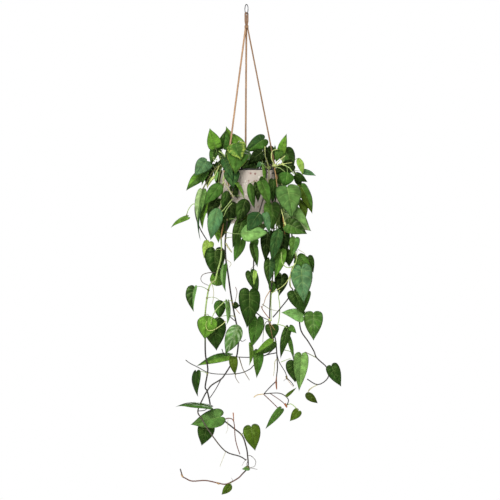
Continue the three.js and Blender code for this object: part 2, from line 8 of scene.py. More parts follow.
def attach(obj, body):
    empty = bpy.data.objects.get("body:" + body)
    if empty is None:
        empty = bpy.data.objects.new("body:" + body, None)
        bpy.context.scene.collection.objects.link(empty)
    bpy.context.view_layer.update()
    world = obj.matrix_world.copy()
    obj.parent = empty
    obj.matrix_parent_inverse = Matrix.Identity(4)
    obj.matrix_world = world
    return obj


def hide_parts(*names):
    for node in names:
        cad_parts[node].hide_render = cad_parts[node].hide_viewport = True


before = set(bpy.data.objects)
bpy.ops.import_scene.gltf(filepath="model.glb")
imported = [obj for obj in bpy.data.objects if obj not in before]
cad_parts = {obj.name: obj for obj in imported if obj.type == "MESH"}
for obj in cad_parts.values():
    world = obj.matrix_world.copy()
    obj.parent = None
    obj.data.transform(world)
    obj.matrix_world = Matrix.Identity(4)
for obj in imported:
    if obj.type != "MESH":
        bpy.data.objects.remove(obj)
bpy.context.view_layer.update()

mm = 0.001  # the tables of the plant, pot and laces are in millimetres
fullTurn = 6.283  # in radians


def paint(code):  # "#rrggbb" as seen on screen to the shader's own values
    parts = [int(code[i:i + 2], 16) / 255 for i in (1, 3, 5)]
    return tuple(c / 12.92 if c <= 0.04045 else ((c + 0.055) / 1.055) ** 2.4 for c in parts)


def blend(a, b, share):
    return tuple(x + (y - x) * share for x, y in zip(a, b))


def smoothStep(low, high, value):
    t = min(max((value - low) / (high - low), 0), 1)
    return t * t * (3 - 2 * t)


def addNode(tree, kind, inputs=(), **settings):
    # Each input takes a link from another node, or a plain value
    node = tree.nodes.new(kind)
    for name, value in settings.items():
        setattr(node, name, value)
    for name, value in dict(inputs).items():
        if isinstance(value, bpy.types.NodeSocket):
            tree.links.new(value, node.inputs[name])
        else:
            node.inputs[name].default_value = value
    return node


def calc(tree, operation, a, b=0.0, c=0.0, clamp=False):
    return addNode(tree, "ShaderNodeMath", {0: a, 1: b, 2: c}, operation=operation, use_clamp=clamp).outputs[0]


def product(tree, result, *others):
    for value in others:
        result = calc(tree, "MULTIPLY", result, value)
    return result


def ramp(tree, value, low, high, outLow=0.0, outHigh=1.0):
    node = addNode(tree, "ShaderNodeMapRange", {"Value": value, "From Min": low, "From Max": high,
                   "To Min": outLow, "To Max": outHigh}, interpolation_type="SMOOTHSTEP")
    return node.outputs["Result"]


def vary(tree, value, outLow, outHigh):
    # A ramp over the usual reach of a noise
    return ramp(tree, value, 0.3, 0.7, outLow, outHigh)


def mixColour(tree, factor, a, b, mode="MIX"):
    a, b = [(*colour, 1) if isinstance(colour, tuple) else colour for colour in (a, b)]
    return addNode(tree, "ShaderNodeMix", {0: factor, 6: a, 7: b}, data_type="RGBA", blend_type=mode).outputs[2]


def shaded(tree, colour, shade):
    grey = addNode(tree, "ShaderNodeCombineColor", {"Red": shade, "Green": shade, "Blue": shade})
    return mixColour(tree, 1.0, colour, grey.outputs["Color"], "MULTIPLY")


def noiseAt(tree, place, scale, detail):
    return addNode(tree, "ShaderNodeTexNoise", {"Vector": place, "Scale": scale, "Detail": detail}).outputs["Fac"]


def makeGroup(name, inputs, draft):
    # Each output is a number that changes over the surface, as the draft works it out from the inputs
    group = bpy.data.node_groups.new(name, "ShaderNodeTree")
    for label, value in inputs.items():
        kind = "NodeSocketFloat" if isinstance(value, float) else "NodeSocketVector"
        group.interface.new_socket(label, in_out="INPUT", socket_type=kind).default_value = value
    results = draft(group, group.nodes.new("NodeGroupInput").outputs)
    for label in results:
        group.interface.new_socket(label, in_out="OUTPUT", socket_type="NodeSocketFloat")
    out = group.nodes.new("NodeGroupOutput").inputs
    for label, value in results.items():
        group.links.new(value, out[label])
    return group


def useGroup(tree, group, inputs):
    return addNode(tree, "ShaderNodeGroup", inputs, node_tree=group).outputs


def draftGrain(group, given):
    place = addNode(group, "ShaderNodeVectorMath", {0: given["Place"], 1: given["Stretch"]},
                    operation="MULTIPLY").outputs[0]
    return {"Fine": noiseAt(group, place, given["Fine Scale"], 3.0),
            "Coarse": noiseAt(group, place, given["Coarse Scale"], 2.0)}


# How far each part of a blade's pattern reaches, as shares of its length and half width
patternForm = {"ribTaper": (1.3, 0.5), "veinsAcross": (0.55, 1.0), "veinsAlong": (0.8, 0.97),
               "quiltWave": (0.0, 0.9), "quiltAcross": (0.0, 0.3), "rim": (0.72, 1.0)}


def draftLeafPattern(group, given):
    # Rib, side veins, the quilting between them and the rim, from the place across and along the blade
    parts = addNode(group, "ShaderNodeSeparateXYZ", {"Vector": given["Place"]}).outputs
    away = product(group, calc(group, "ABSOLUTE", calc(group, "SUBTRACT", parts["X"], 0.5)), 2.0)
    along = parts["Y"]
    ribWidth = product(group, given["Rib Width"], ramp(group, along, 0.0, 1.0, *patternForm["ribTaper"]))
    rib = calc(group, "SUBTRACT", 1.0, calc(group, "DIVIDE", away, ribWidth), clamp=True)
    wave = calc(group, "PINGPONG", product(group, along, given["Side Veins"]), 0.5)
    wave = product(group, wave, 2.0)  # 0 on a vein, 1 between two
    vein = calc(group, "SUBTRACT", 1.0, calc(group, "DIVIDE", wave, given["Vein Width"]), clamp=True)
    vein = product(group, vein, ramp(group, away, *patternForm["veinsAcross"], 1.0, 0.0),
                   ramp(group, along, *patternForm["veinsAlong"], 1.0, 0.0))
    quilt = product(group, ramp(group, wave, *patternForm["quiltWave"]),
                    ramp(group, away, *patternForm["quiltAcross"]))
    return {"Rib": rib, "Veins": vein, "Quilt": quilt, "Rim": ramp(group, away, *patternForm["rim"]), "Away": away}


surfaceGrain = makeGroup("surfaceGrain", {"Place": (0, 0, 0), "Fine Scale": 400.0, "Coarse Scale": 40.0,
                                          "Stretch": (1, 1, 1)}, draftGrain)
leafPattern = makeGroup("leafPattern", {"Place": (0, 0, 0), "Side Veins": 7.0, "Vein Width": 0.16,
                                        "Rib Width": 0.05}, draftLeafPattern)


def grainAt(tree, place, fine, coarse, stretch=(1, 1, 1)):
    return useGroup(tree, surfaceGrain, {"Place": place, "Fine Scale": fine, "Coarse Scale": coarse,
                                         "Stretch": stretch})


def readColour(tree, name):
    return addNode(tree, "ShaderNodeAttribute", attribute_name=name).outputs


def split(tree, colour):
    return addNode(tree, "ShaderNodeSeparateColor", {"Color": colour}).outputs


def makeFinish(name, draft, **plain):
    material = bpy.data.materials.new(name)
    material.use_nodes = True
    tree = material.node_tree
    shader = tree.nodes["Principled BSDF"]
    for label, value in plain.items():
        shader.inputs[label.replace("_", " ")].default_value = value
    place = addNode(tree, "ShaderNodeTexCoord").outputs["Object"]
    for label, value in draft(tree, place).items():
        tree.links.new(value, shader.inputs[label])
    return material


def bump(tree, height, distance, strength=1.0):
    return addNode(tree, "ShaderNodeBump", {"Height": height, "Distance": distance,
                   "Strength": strength}).outputs["Normal"]


# Blades, stems and petioles: what a user would change
leafLook = {
    "veins": 7.0, "veinWidth": 0.2, "ribWidth": 0.05, "veinTint": 0.1, "ribTint": 0.5, "paleVein": "#a5bf6c",
    # The quilt shade is painted shade on the rib and vein grooves and painted light on the raised quilting
    "grain": (420.0, 60.0), "mottle": (0.68, 1.2), "fineMottle": (0.97, 1.02), "quiltShade": (0.88, 1.05),
    # The whitish sheen colour is a painted highlight, mixed into the leaf colour in patches along the veins
    "paintedSheen": "#b4cba4", "paintedSheenPatches": (0.15, 0.6), "paleRim": "#a9bb52", "rimTint": 0.55,
    "patchScale": 150.0, "patchReach": (0.24, 0.8), "gloss": 0.36, "glossSpread": 0.08, "shine": 0.38,
    "shineTint": "#94bd5c", "bumpDepth": 0.001, "crinkleScale": 110.0,
    "relief": {"rib": -0.7, "quilt": 0.65, "veins": -0.15, "grain": 0.4, "crinkle": 3.0},
    "under": {"shine": 0.6, "rougher": 0.18, "tint": 0.25, "colour": "#7d9e58", "relief": -0.8},
}
stemLook = {"grain": (900.0, 160.0), "stretch": (1, 1, 0.35), "bark": "#4a3d22", "barkTint": 0.3,
            "shade": (0.85, 1.15), "gloss": (0.4, 0.65), "bumpDepth": 0.0004}


def makeLeafSkin(name, under=False):
    look, below = leafLook, leafLook["under"]

    def draft(tree, place):
        given = readColour(tree, "marks")
        marks = split(tree, given["Color"])
        blade = addNode(tree, "ShaderNodeUVMap", uv_map="blade").outputs["UV"]
        pattern = useGroup(tree, leafPattern, {"Place": blade, "Side Veins": look["veins"],
                           "Vein Width": look["veinWidth"], "Rib Width": look["ribWidth"]})
        grain = grainAt(tree, place, *look["grain"])
        # Painted shade and light: darker on the rib and veins, lighter on the quilting between them; the mottles vary
        # at random
        shade = product(tree, ramp(tree, grain["Coarse"], 0.32, 0.7, *look["mottle"]),
                        vary(tree, grain["Fine"], *look["fineMottle"]),
                        ramp(tree, pattern["Quilt"], 0.0, 1.0, *look["quiltShade"]))
        colour = shaded(tree, readColour(tree, "tone")["Color"], shade)
        veinColour = mixColour(tree, 0.5, colour, paint(look["paleVein"]))
        veins = product(tree, pattern["Veins"], calc(tree, "MULTIPLY_ADD", marks["Red"], 0.5, look["veinTint"]))
        colour = mixColour(tree, veins, colour, veinColour)
        # Painted sheen: a whitish painted highlight on and beside the veins and rib, in coarse patches, strongest on
        # streaked leaves
        paintedSheen = product(tree, ramp(tree, pattern["Quilt"], 0.0, 1.0, 1.0, 0.0), ramp(tree, marks["Red"], 0.4, 1.0),
                        ramp(tree, grain["Coarse"], 0.35, 0.65, *look["paintedSheenPatches"]))
        colour = mixColour(tree, paintedSheen, colour, paint(look["paintedSheen"]))
        colour = mixColour(tree, product(tree, pattern["Rib"], look["ribTint"]), colour, veinColour)
        patches = product(tree, ramp(tree, pattern["Away"], *look["patchReach"]),
                          ramp(tree, noiseAt(tree, place, look["patchScale"], 3.0), 0.38, 0.66), marks["Green"])
        colour = mixColour(tree, patches, colour, paint(look["paleRim"]))
        rim = product(tree, ramp(tree, pattern["Rim"], 0.82, 1.0), given["Alpha"], look["rimTint"])
        colour = mixColour(tree, rim, colour, paint(look["paleRim"]))
        if under:
            colour = mixColour(tree, below["tint"], colour, paint(below["colour"]))
        crinkle = product(tree, noiseAt(tree, place, look["crinkleScale"], 2.0), marks["Blue"])
        height = 0.0
        for part, word in ((pattern["Rib"], "rib"), (pattern["Quilt"], "quilt"), (pattern["Veins"], "veins"),
                           (grain["Coarse"], "grain"), (crinkle, "crinkle")):
            height = calc(tree, "MULTIPLY_ADD", part, look["relief"][word], height)
        if under:
            height = product(tree, height, below["relief"])
        rough = look["gloss"] + (below["rougher"] if under else 0.0)
        gloss = vary(tree, grain["Coarse"], rough + look["glossSpread"], rough - look["glossSpread"])
        return {"Base Color": colour, "Roughness": gloss, "Normal": bump(tree, height, look["bumpDepth"])}

    return makeFinish(name, draft, Specular_IOR_Level=look["shine"] * (below["shine"] if under else 1.0),
                      Specular_Tint=(*paint(look["shineTint"]), 1))


def dressStem(tree, place):
    grain = grainAt(tree, place, *stemLook["grain"], stemLook["stretch"])
    bark = ramp(tree, grain["Coarse"], 0.35, 0.75, 0.0, stemLook["barkTint"])
    colour = mixColour(tree, bark, readColour(tree, "tone")["Color"], paint(stemLook["bark"]))
    return {"Base Color": shaded(tree, colour, vary(tree, grain["Fine"], *stemLook["shade"])),
            "Roughness": ramp(tree, grain["Coarse"], 0.2, 0.8, *stemLook["gloss"]),
            "Normal": bump(tree, grain["Fine"], stemLook["bumpDepth"])}


leafSkin = makeLeafSkin("leafSkin")
leafUnderside = makeLeafSkin("leafUnderside", under=True)
stemSkin = makeFinish("stemSkin", dressStem)


def newShape():
    return {"points": [], "faces": [], "tone": [], "marks": [], "uvs": [], "skins": []}


def addPoint(shape, point, tone=(1, 1, 1), marks=(0, 0, 0), uv=(0.5, 0.5)):
    # The point is in millimetres and the mesh in metres
    shape["points"].append(point * mm)
    shape["tone"].append(tone)
    shape["marks"].append(marks)
    shape["uvs"].append(uv)
    return len(shape["points"]) - 1


def addFace(shape, corners, skin=0):
    kept = [c for i, c in enumerate(corners) if c != corners[i - 1]]
    if len(kept) > 2:
        shape["faces"].append(kept)
        shape["skins"].append(skin)


def bridge(shape, rings, skin=0, downward=False):
    # Faces from each ring of points to the next; a ring may be one point, repeated
    for low, high in zip(rings, rings[1:]):
        if downward:
            low, high = high, low
        for j in range(len(low)):
            k = (j + 1) % len(low)
            addFace(shape, [low[j], low[k], high[k], high[j]], skin)


def closeTube(shape, rings):
    bridge(shape, rings)
    addFace(shape, rings[0][::-1])
    addFace(shape, rings[-1])


def makePiece(name, shape, materials, slot, *nodes):
    mesh = bpy.data.meshes.new(name)
    mesh.from_pydata(shape["points"], [], shape["faces"])
    for label in ("tone", "marks"):
        layer = mesh.color_attributes.new(label, "FLOAT_COLOR", "POINT")
        layer.data.foreach_set("color", [v for colour in shape[label] for v in (*colour, 0)[:4]])
    corners = mesh.uv_layers.new(name="blade")
    corners.data.foreach_set("uv", [v for loop in mesh.loops for v in shape["uvs"][loop.vertex_index]])
    for material in materials:
        mesh.materials.append(material)
    mesh.polygons.foreach_set("material_index", shape["skins"])
    mesh.polygons.foreach_set("use_smooth", [True] * len(mesh.polygons))
    mesh.update()
    piece = bpy.data.objects.new(name, mesh)
    bpy.context.scene.collection.objects.link(piece)
    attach(piece, "root")
    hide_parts(*nodes)
    return piece


def smoothPath(points, steps):
    # A curve through all the points, with a few steps between each two
    course = []
    for i in range(len(points) - 1):
        before, start = points[max(i - 1, 0)], points[i]
        end, after = points[i + 1], points[min(i + 2, len(points) - 1)]
        for k in range(steps):
            t = k / steps
            course.append(0.5 * (2 * start + (end - before) * t + (2 * before - 5 * start + 4 * end - after) * t * t
                                 + (3 * start - before - 3 * end + after) * t ** 3))
    return course + [points[-1]]


def wayAlong(points, i):
    return (points[min(i + 1, len(points) - 1)] - points[max(i - 1, 0)]).normalized()


def addTube(shape, points, radii, tone=(1, 1, 1), sides=8, flat=1.0):
    # A closed tube along its points; radii has one for each, and so may tone
    across = Vector((0.31, 0.9, 0.17))
    rings = []
    for i, (point, radius) in enumerate(zip(points, radii)):
        along = wayAlong(points, i)
        across = (across - along * across.dot(along)).normalized()
        up = along.cross(across)
        ring = []
        for j in range(sides):
            turn = 2 * math.pi * j / sides
            offset = across * (radius * math.cos(turn)) + up * (radius * flat * math.sin(turn))
            ring.append(addPoint(shape, point + offset, tone[i] if isinstance(tone, list) else tone))
        rings.append(ring)
    closeTube(shape, rings)


# The blade of a leaf, as shares of its length and half width. Each line runs from the rib to the edge, the
# way its side veins do: where it leaves the rib, where it ends along, and where it ends across.
leafForm = {"arch": 0.07, "lift": -0.1, "bulge": 0.3, "thick": 0.5, "ribThick": 0.9, "ribReach": 0.12,
            "curl": 0.05, "curlFrom": 0.7, "fold": 0.05, "foldFade": 3, "foldShift": 0.9, "twistFrom": 0.3,
            "across": 8, "crowding": 1.25, "veinBow": 0.35, "edgeBow": 0.3, "seam": 0.08,
            "ovalTop": 0.34, "ovalTip": 0.75, "widestLine": 9}
# What differs from leaf to leaf, drawn in this order. A wave is its height, how often it comes and its start.
leafChance = {"notch": (0.45, 1.0), "puff": (0.6, 1.25), "twist": (-0.22, 0.22), "droop": (0, 1.2),
              "sway": (-0.1, 0.1)}
toneChance = (0.93, 1.07)
plainChance = ((0.0, 0.2), (0.0, 0.2), (0.0, 0.3))  # veins, crinkles and rim of a leaf without marks
waveChance = ((0.03, 0.1), (1.2, 2.6), (0, 6.3))
foldChance = ((0.5, 1.2), (2.2, 3.6), (0, 6.3))
veinLines = [
    (0.0, 0.0, 0.0), (0.004, -0.06, 0.05), (0.01, -0.115, 0.16), (0.018, -0.145, 0.34), (0.028, -0.135, 0.54),
    (0.04, -0.09, 0.73), (0.056, -0.02, 0.88), (0.08, 0.07, 0.97), (0.115, 0.18, 1.0), (0.165, 0.295, 0.98),
    (0.23, 0.41, 0.9), (0.31, 0.525, 0.775), (0.4, 0.635, 0.62), (0.5, 0.74, 0.44), (0.61, 0.83, 0.275),
    (0.72, 0.905, 0.14), (0.83, 0.96, 0.05), (1.0, 1.0, 0.0),
]
# The darkest tone is partly the leaves' own dark green and partly painted shade, given to leaves that lie in shade
leafTones = {
    "veryDark": "#12210a", "dark": "#1f3711", "deep": "#294824", "mid": "#3b5e23", "soft": "#4f7437",
    "bluish": "#4a6e47", "bright": "#5a812c", "light": "#6d9550", "lime": "#8aa94c", "olive": "#405414",
    "darkOlive": "#2f3f0e", "pale": "#86a26c",
}
# How strong the pale veins, lime patches and crinkles of a blade are, and its thin pale rim; the strength of the pale
# veins also sets a painted sheen
leafMarks = {"streaks": (0.8, 0.0, 0.2, 0.0), "edge": (0.0, 0.6, 0.1, 0.25), "thinEdge": (0.0, 0.0, 0.1, 0.9),
             "veins": (0.5, 0.0, 0.0, 0.3), "faint": (0.42, 0.0, 0.15, 0.0), "crinkled": (0.15, 0.0, 0.8, 0.2)}
stemTones = {
    "young": "#93ad5e", "old": "#17140c", "sheath": "#94521f", "reddish": "#5e3524", "root": "#453c30",
    "pale": "#a8a577", "straw": "#b0924a", "node": "#6a5a2c", "tan": "#a07c48", "olive": "#6d7438",
    "shoot": "#b3be6e",
}

# Each vine has the place of its root, its stems, its leaves and its small parts. A stem is its tone, its
# thickness at both ends and its points; the lower stem has its own tones, each from a height down. A leaf is the
# place of its notch, of its tip, its width, the way it faces (0 front, 90 right), how far it looks up, where it is
# folded the lift of its edges, and its tones left and right of the rib, with + and the shape or marks that it has.
# Where a leaf has two tones they are partly painted light and shade: mostly the half turned to the light has the
# lighter tone and the half in shade the darker
vines = {
    "vine_left_side": {
        "root": (-40, -8),
        "lowerStem": [("old", -570)],
        "stems": [
            ("olive", 2.3, 1.2, [(-52, -8, -498), (-70, -12, -482), (-90, -16, -490),
                (-108, -20, -512), (-126, -24, -545), (-146, -26, -580), (-154, -28, -604),
                (-153, -32, -633), (-143, -36, -666), (-127, -42, -696), (-106, -46, -726)]),
            ("young", 1.6, 1, [(-70, -12, -482), (-78, -26, -464), (-88, -36, -446)]),
            ("young", 1, 0.8, [(-154, -25, -600), (-163, -20, -601), (-174, -14, -615),
                (-180, -10, -632)]),
        ],
        "leaves": [
            (-93, -50, -430, -111, -56, -372, 44, -8, 0, "bright"),
            (-70, -22, -432, -61, -18, -375, 38, 5, 0, "mid/dark"),
            (-43, 2, -420, -62, 6, -365, 30, -10, 0, "bright"),
            (-93, -30, -429, -107, -34, -483, 32, -25, 0, "mid/dark"),
            (-119, -30, -471, -157, -46, -516, 50, -20, 0, "bluish"),
            (-130, -18, -507, -182, -28, -560, 36, -20, 0, "bright/mid"),
            (-115, -24, -492, -135, -30, -546, 24, -45, 0, "mid"),
            (-106, -8, -483, -124, -12, -537, 30, -10, 0, "veryDark"),
            (-90, -46, -504, -93, -54, -537, 14, -30, 0, "light"),
            (-103, -36, -522, -118, -40, -552, 9, -20, 0, "lime"),
            (-134, -38, -561, -146, -48, -657, 38, -30, 0, "pale/soft"),
            (-124, -30, -600, -133, -38, -676, 28, -45, 0, "bright"),
            (-178, -10, -639, -229, -14, -671, 20, -20, 30, "bright"),
            (-112, -48, -714, -128, -50, -764, 34, -5, 0, "lime"),
            (-138, -44, -600, -138, -52, -711, 24, -72, 0, "deep"),
        ],
        "roots": [
            ("shoot", 1.7, [(-97.5, -48, -516), (-109.5, -52, -534), (-118.5, -54, -549)]),
            ("shoot", 1.0, [(-82.5, -46, -486), (-91.5, -50, -507), (-100.5, -52, -528)]),
            ("young", 0.9, [(-88.5, -40, -468), (-100.5, -42, -459), (-96, -44, -474)]),
        ],
    },
    "vine_crown_left": {
        "root": (-15, -30),
        "stems": [
            ("young", 2.1, 1.2, [(-20, -40, -500), (-32, -58, -478), (-44, -76, -486),
                (-52, -92, -520), (-54, -98, -546)]),
            ("young", 1.5, 1, [(-20, -40, -500), (-22, -38, -470), (-22, -34, -446)]),
        ],
        "leaves": [
            (-17, -18, -432, -40, -16, -386, 38, 10, 0, "bright"),
            (-33, -78, -420, -15, -102, -470, 60, 0, 10, "mid+edge"),
            (-22, -66, -435, -33, -124, -511, 68, 0, 0, "mid+thinEdge"),
            (-66, -84, -468, -39, -120, -531, 30, -5, 0, "deep"),
            (-46, -98, -501, -39, -120, -554, 48, -5, 0, "deep"),
            (-28, -112, -537, -7, -120, -582, 26, 60, 0, "bright"),
        ],
        "roots": [
            ("pale", 1.1, [(-73.5, -90, -525), (-61.5, -99, -543), (-49.5, -107, -561),
                (-37.5, -110, -582)]),
            ("young", 0.8, [(-42, -112, -585), (-61.5, -119, -609), (-82.5, -124, -633)]),
            ("young", 0.7, [(-43.5, -112, -597), (-58.5, -119, -615), (-69, -122, -639)]),
            ("tan", 1.0, [(-67.5, -86, -501), (-61.5, -98, -522), (-52.5, -104, -546)]),
            ("young", 0.9, [(-82.5, -60, -441), (-67.5, -70, -453), (-58.5, -74, -471)]),
        ],
    },
    "vine_long_left": {
        "root": (-32, -32),
        "lowerStem": [("old", -1000), ("reddish", -1412)],
        "stems": [
            ("young", 2.3, 1.5, [(-38, -44, -496), (-50, -62, -480), (-64, -76, -502),
                (-72, -84, -560), (-78, -86, -640), (-76, -84, -708), (-75, -84, -747),
                (-79, -84, -774), (-88, -84, -804), (-94, -84, -828), (-112, -84, -849),
                (-124, -82, -930), (-124, -80, -1005), (-123, -78, -1053), (-117, -74, -1086),
                (-117, -72, -1107), (-124, -66, -1149), (-118, -66, -1161), (-112, -66, -1185),
                (-103, -66, -1218), (-70, -64, -1248), (-40, -62, -1272), (-13, -60, -1295),
                (-1, -60, -1329), (3, -60, -1353), (4, -60, -1389), (-13, -58, -1411),
                (-28, -58, -1425), (-61, -57, -1441), (-88, -56, -1437), (-124, -55, -1430),
                (-163, -54, -1432), (-184, -54, -1423), (-192, -54, -1417), (-199, -53, -1395)]),
            ("reddish", 1.3, 1.2, [(-70, -64, -1248), (-52, -66, -1243), (-38, -70, -1254),
                (-33, -74, -1308), (-20, -76, -1351)]),
            ("sheath", 0.8, 1.6, [(-36, -70, -1252), (-39, -71, -1240), (-40, -71, -1226)]),
        ],
        "leaves": [
            (-76, -92, -540, -127, -98, -603, 42, -15, 0, "mid+oval"),
            (-88, -80, -585, -118, -78, -642, 34, -10, 0, "veryDark"),
            (-86, -118, -612, -108, -126, -708, 46, -8, 0, "bluish+oval"),
            (-88, -88, -672, -84, -86, -717, 22, 0, 0, "bright"),
            (-94, -68, -739, -93, -66, -822, 62, 0, 0, "dark"),
            (-88, -58, -846, -85, -54, -786, 48, 5, 0, "mid/bright+oval"),
            (-156, -84, -849, -159, -88, -924, 44, -35, 0, 0.55, "dark/light+veins"),
            (-81, -84, -888, -81, -80, -945, 36, 0, 0, "mid/dark+oval"),
            (-112, -110, -935, -126, -114, -1005, 62, -5, 0, "bright+oval"),
            (-150, -76, -1104, -147, -78, -1179, 34, -40, 0, "dark"),
            (-78, -74, -1238, -168, -76, -1262, 57, 0, 5, "soft+crinkled"),
            (-118, -64, -1264, -135, -62, -1326, 52, 0, 0, "dark"),
            (14, -68, -1269, 26, -70, -1341, 53, 0, 0, "olive"),
            (-46, -58, -1442, -75, -58, -1473, 24, 0, 0, "olive+oval"),
            (8, -60, -1392, -14, -62, -1396, 16, 0, 20, "soft"),
        ],
        "roots": [
            ("tan", 1.7, [(-81, -57, -1440.6), (-91.5, -56, -1436.4)]),
            ("tan", 1.6, [(-190.5, -54, -1420.2), (-196.5, -54, -1411.5)]),
            ("reddish", 0.4, [(1.5, -60, -1365), (-7.5, -62, -1374), (-13.5, -62, -1386)]),
            ("reddish", 0.4, [(4.5, -60, -1371), (0, -62, -1380), (1.5, -61, -1392)]),
            ("root", 0.75, [(-90, -85, -806), (-112, -90, -806), (-131, -88, -812),
                (-137, -86, -825), (-131, -85, -836), (-117, -84, -843), (-109, -84, -847)]),
            ("root", 0.6, [(3, -60, -1356), (13, -61, -1356), (27, -62, -1370), (25, -61, -1386),
                (14, -60, -1391), (4, -60, -1392)]),
            ("root", 0.6, [(2, -60, -1393), (16, -61, -1393), (33, -62, -1397)]),
            ("pale", 0.4, [(-55, -66, -1245), (-57, -66, -1262), (-56, -67, -1275),
                (-62, -67, -1288)]),
            ("root", 0.4, [(-52, -58, -1437), (-42, -62, -1430), (-46, -60, -1422)]),
        ],
        "sheaths": [
            ("tan", 4.2, [(-69, -98, -658), (-73, -104, -681), (-78, -98, -708)]),
        ],
    },
    "vine_long_dark": {
        "root": (-8, -46),
        "lowerStem": [("root", -1215), ("old", -1330)],
        "stems": [
            ("old", 2.3, 1.5, [(-14, -58, -494), (-24, -78, -480), (-28, -88, -508),
                (-38, -96, -545), (-50, -100, -600), (-58, -98, -650), (-62, -96, -693),
                (-64, -96, -720), (-62, -96, -765), (-56, -96, -805), (-47, -96, -870),
                (-37, -95, -927), (-32, -95, -951), (-24, -94, -993), (-28, -93, -1050),
                (-38, -92, -1068), (-62, -90, -1107), (-76, -89, -1125), (-104, -88, -1143),
                (-118, -88, -1161), (-130, -87, -1182), (-146, -86, -1221), (-134, -86, -1245),
                (-106, -85, -1290), (-64, -84, -1341), (-20, -78, -1357), (-1, -73, -1369)]),
            ("old", 1.2, 0.9, [(-76, -89, -1125), (-92, -84, -1155), (-110, -80, -1182)]),
            ("old", 1, 0.9, [(-146, -86, -1221), (-126, -88, -1219), (-116, -90, -1211)]),
        ],
        "leaves": [
            (-57, -106, -561, -72, -108, -618, 28, -5, 0, "dark/veryDark+oval"),
            (-46, -97, -591, -52, -97, -660, 54, 0, 0, "veryDark+oval"),
            (-2, -103, -585, -28, -122, -660, 44, 0, 0, "dark/veryDark+oval"),
            (-14, -118, -654, -42, -120, -732, 40, -5, 0, "dark"),
            (-17, -150, -690, 65, -154, -686, 58, 5, 20, "light+oval+faint"),
            (-16, -104, -708, -38, -108, -774, 34, 5, 0, "mid"),
            (-68, -104, -786, -64, -106, -864, 34, -55, 0, "light/mid"),
            (-56, -112, -893, -58, -112, -963, 34, 62, 0, "light"),
            (-99, -92, -951, -90, -94, -1040, 71, 0, 0, "dark"),
            (-38, -102, -903, -20, -102, -906, 22, 0, 0, "veryDark"),
            (-24, -108, -963, -63, -114, -1050, 50, 0, 0, "soft/mid+streaks+oval"),
            (-40, -104, -1062, -34, -104, -1113, 27, 0, 0, "olive"),
            (-112, -92, -1207, -213, -92, -1205, 34, 0, 58, "dark/mid"),
            (-40, -96, -546, -27, -98, -585, 26, 0, 0, "veryDark"),
            (-62, -92, -633, -73, -92, -702, 40, 0, 0, "dark"),
        ],
        "roots": [
            ("pale", 0.6, [(-106.5, -86, -831), (-99, -88, -858), (-99.6, -88, -885),
                (-103.5, -87, -900)]),
            ("reddish", 0.6, [(-33, -97, -849), (-28.5, -99, -864), (-31.5, -99, -882),
                (-36, -97, -900)]),
            ("shoot", 0.7, [(-61.5, -114, -951), (-79.5, -121, -966), (-100.5, -123, -978),
                (-115.5, -123, -978), (-121.5, -123, -966), (-120, -123, -951)]),
            ("young", 1.0, [(-64.5, -112, -891), (-91.5, -118, -918), (-103.5, -121, -942),
                (-106.5, -123, -960)]),
            ("tan", 0.8, [(-40.5, -98, -897), (-31.5, -101, -915), (-19.5, -101, -930)]),
            ("old", 1.0, [(-52.5, -96, -933), (-43.5, -97, -943.5), (-31.5, -95, -952.5)]),
            ("pale", 0.5, [(-62, -84, -1342), (-70, -86, -1362), (-80, -87, -1388)]),
            ("pale", 0.6, [(-62, -97, -766), (-52, -99, -772), (-46, -99, -780), (-52, -98, -790)]),
            ("root", 0.8, [(-25, -94, -990), (-20, -97, -1004), (-13, -98, -1012),
                (-2, -97, -1006)]),
            ("pale", 1.6, [(-62, -96, -718), (-55, -100, -730), (-44, -103, -745)]),
        ],
    },
    "vine_centre": {
        "root": (32, -42),
        "stems": [
            ("old", 2.2, 1.4, [(42, -56, -491), (54, -76, -482), (60, -94, -505), (56, -106, -545),
                (48, -112, -590), (34, -116, -640), (22, -110, -690), (22, -106, -760),
                (18, -100, -850), (14, -98, -920), (16, -96, -1010)]),
        ],
        "leaves": [
            (50, -98, -483, 51, -110, -540, 32, 70, 0, "bright"),
            (50, -114, -522, 36, -118, -540, 17, 0, 0, "dark"),
            (10, -104, -537, 24, -118, -615, 24, -10, 0, "mid/dark+oval"),
            (32, -102, -540, 34, -106, -597, 24, 0, 0, "veryDark"),
            (46, -120, -534, 69, -130, -612, 36, 15, 0, "mid"),
            (4, -100, -639, -16, -100, -690, 27, 0, 0, "olive"),
            (39, -128, -627, 2, -162, -681, 50, -5, 0, "deep+oval"),
            (26, -112, -708, 16, -112, -750, 25, 0, 0, "mid"),
            (20, -118, -723, 33, -120, -790, 26, 5, 0, "dark/mid"),
            (9, -124, -862, 1, -128, -972, 66, 0, 0, "dark"),
            (32, -104, -945, 14, -108, -1032, 48, 10, 0, "mid"),
            (14, -108, -1020, 9, -110, -1086, 30, 62, 0, "bright"),
            (12, -110, -804, 34, -112, -870, 37, 0, 0, "dark"),
            (26, -114, -804, 22, -116, -846, 14, 20, 0, "lime"),
            (32, -106, -897, 34, -106, -924, 15, 0, 0, "bright"),
        ],
        "roots": [
            ("tan", 0.8, [(72, -100, -858), (58.5, -104, -879), (52.5, -104, -897),
                (46.5, -104, -912)]),
            ("olive", 0.6, [(46.5, -100, -900), (70.5, -100, -915), (94.5, -98, -921)]),
            ("old", 1.0, [(28.5, -112, -925.5), (46.5, -106, -939), (67.5, -94, -948)]),
            ("root", 0.45, [(20, -104, -802), (13, -108, -796), (23, -109, -785),
                (35, -108, -777)]),
        ],
    },
    "vine_crown_centre": {
        "root": (20, 12),
        "stems": [
            ("young", 2, 1.2, [(28, 14, -498), (38, 10, -470), (50, 4, -438)]),
        ],
        "leaves": [
            (52, 0, -405, -8, -12, -444, 45, 0, 10, "deep/mid"),
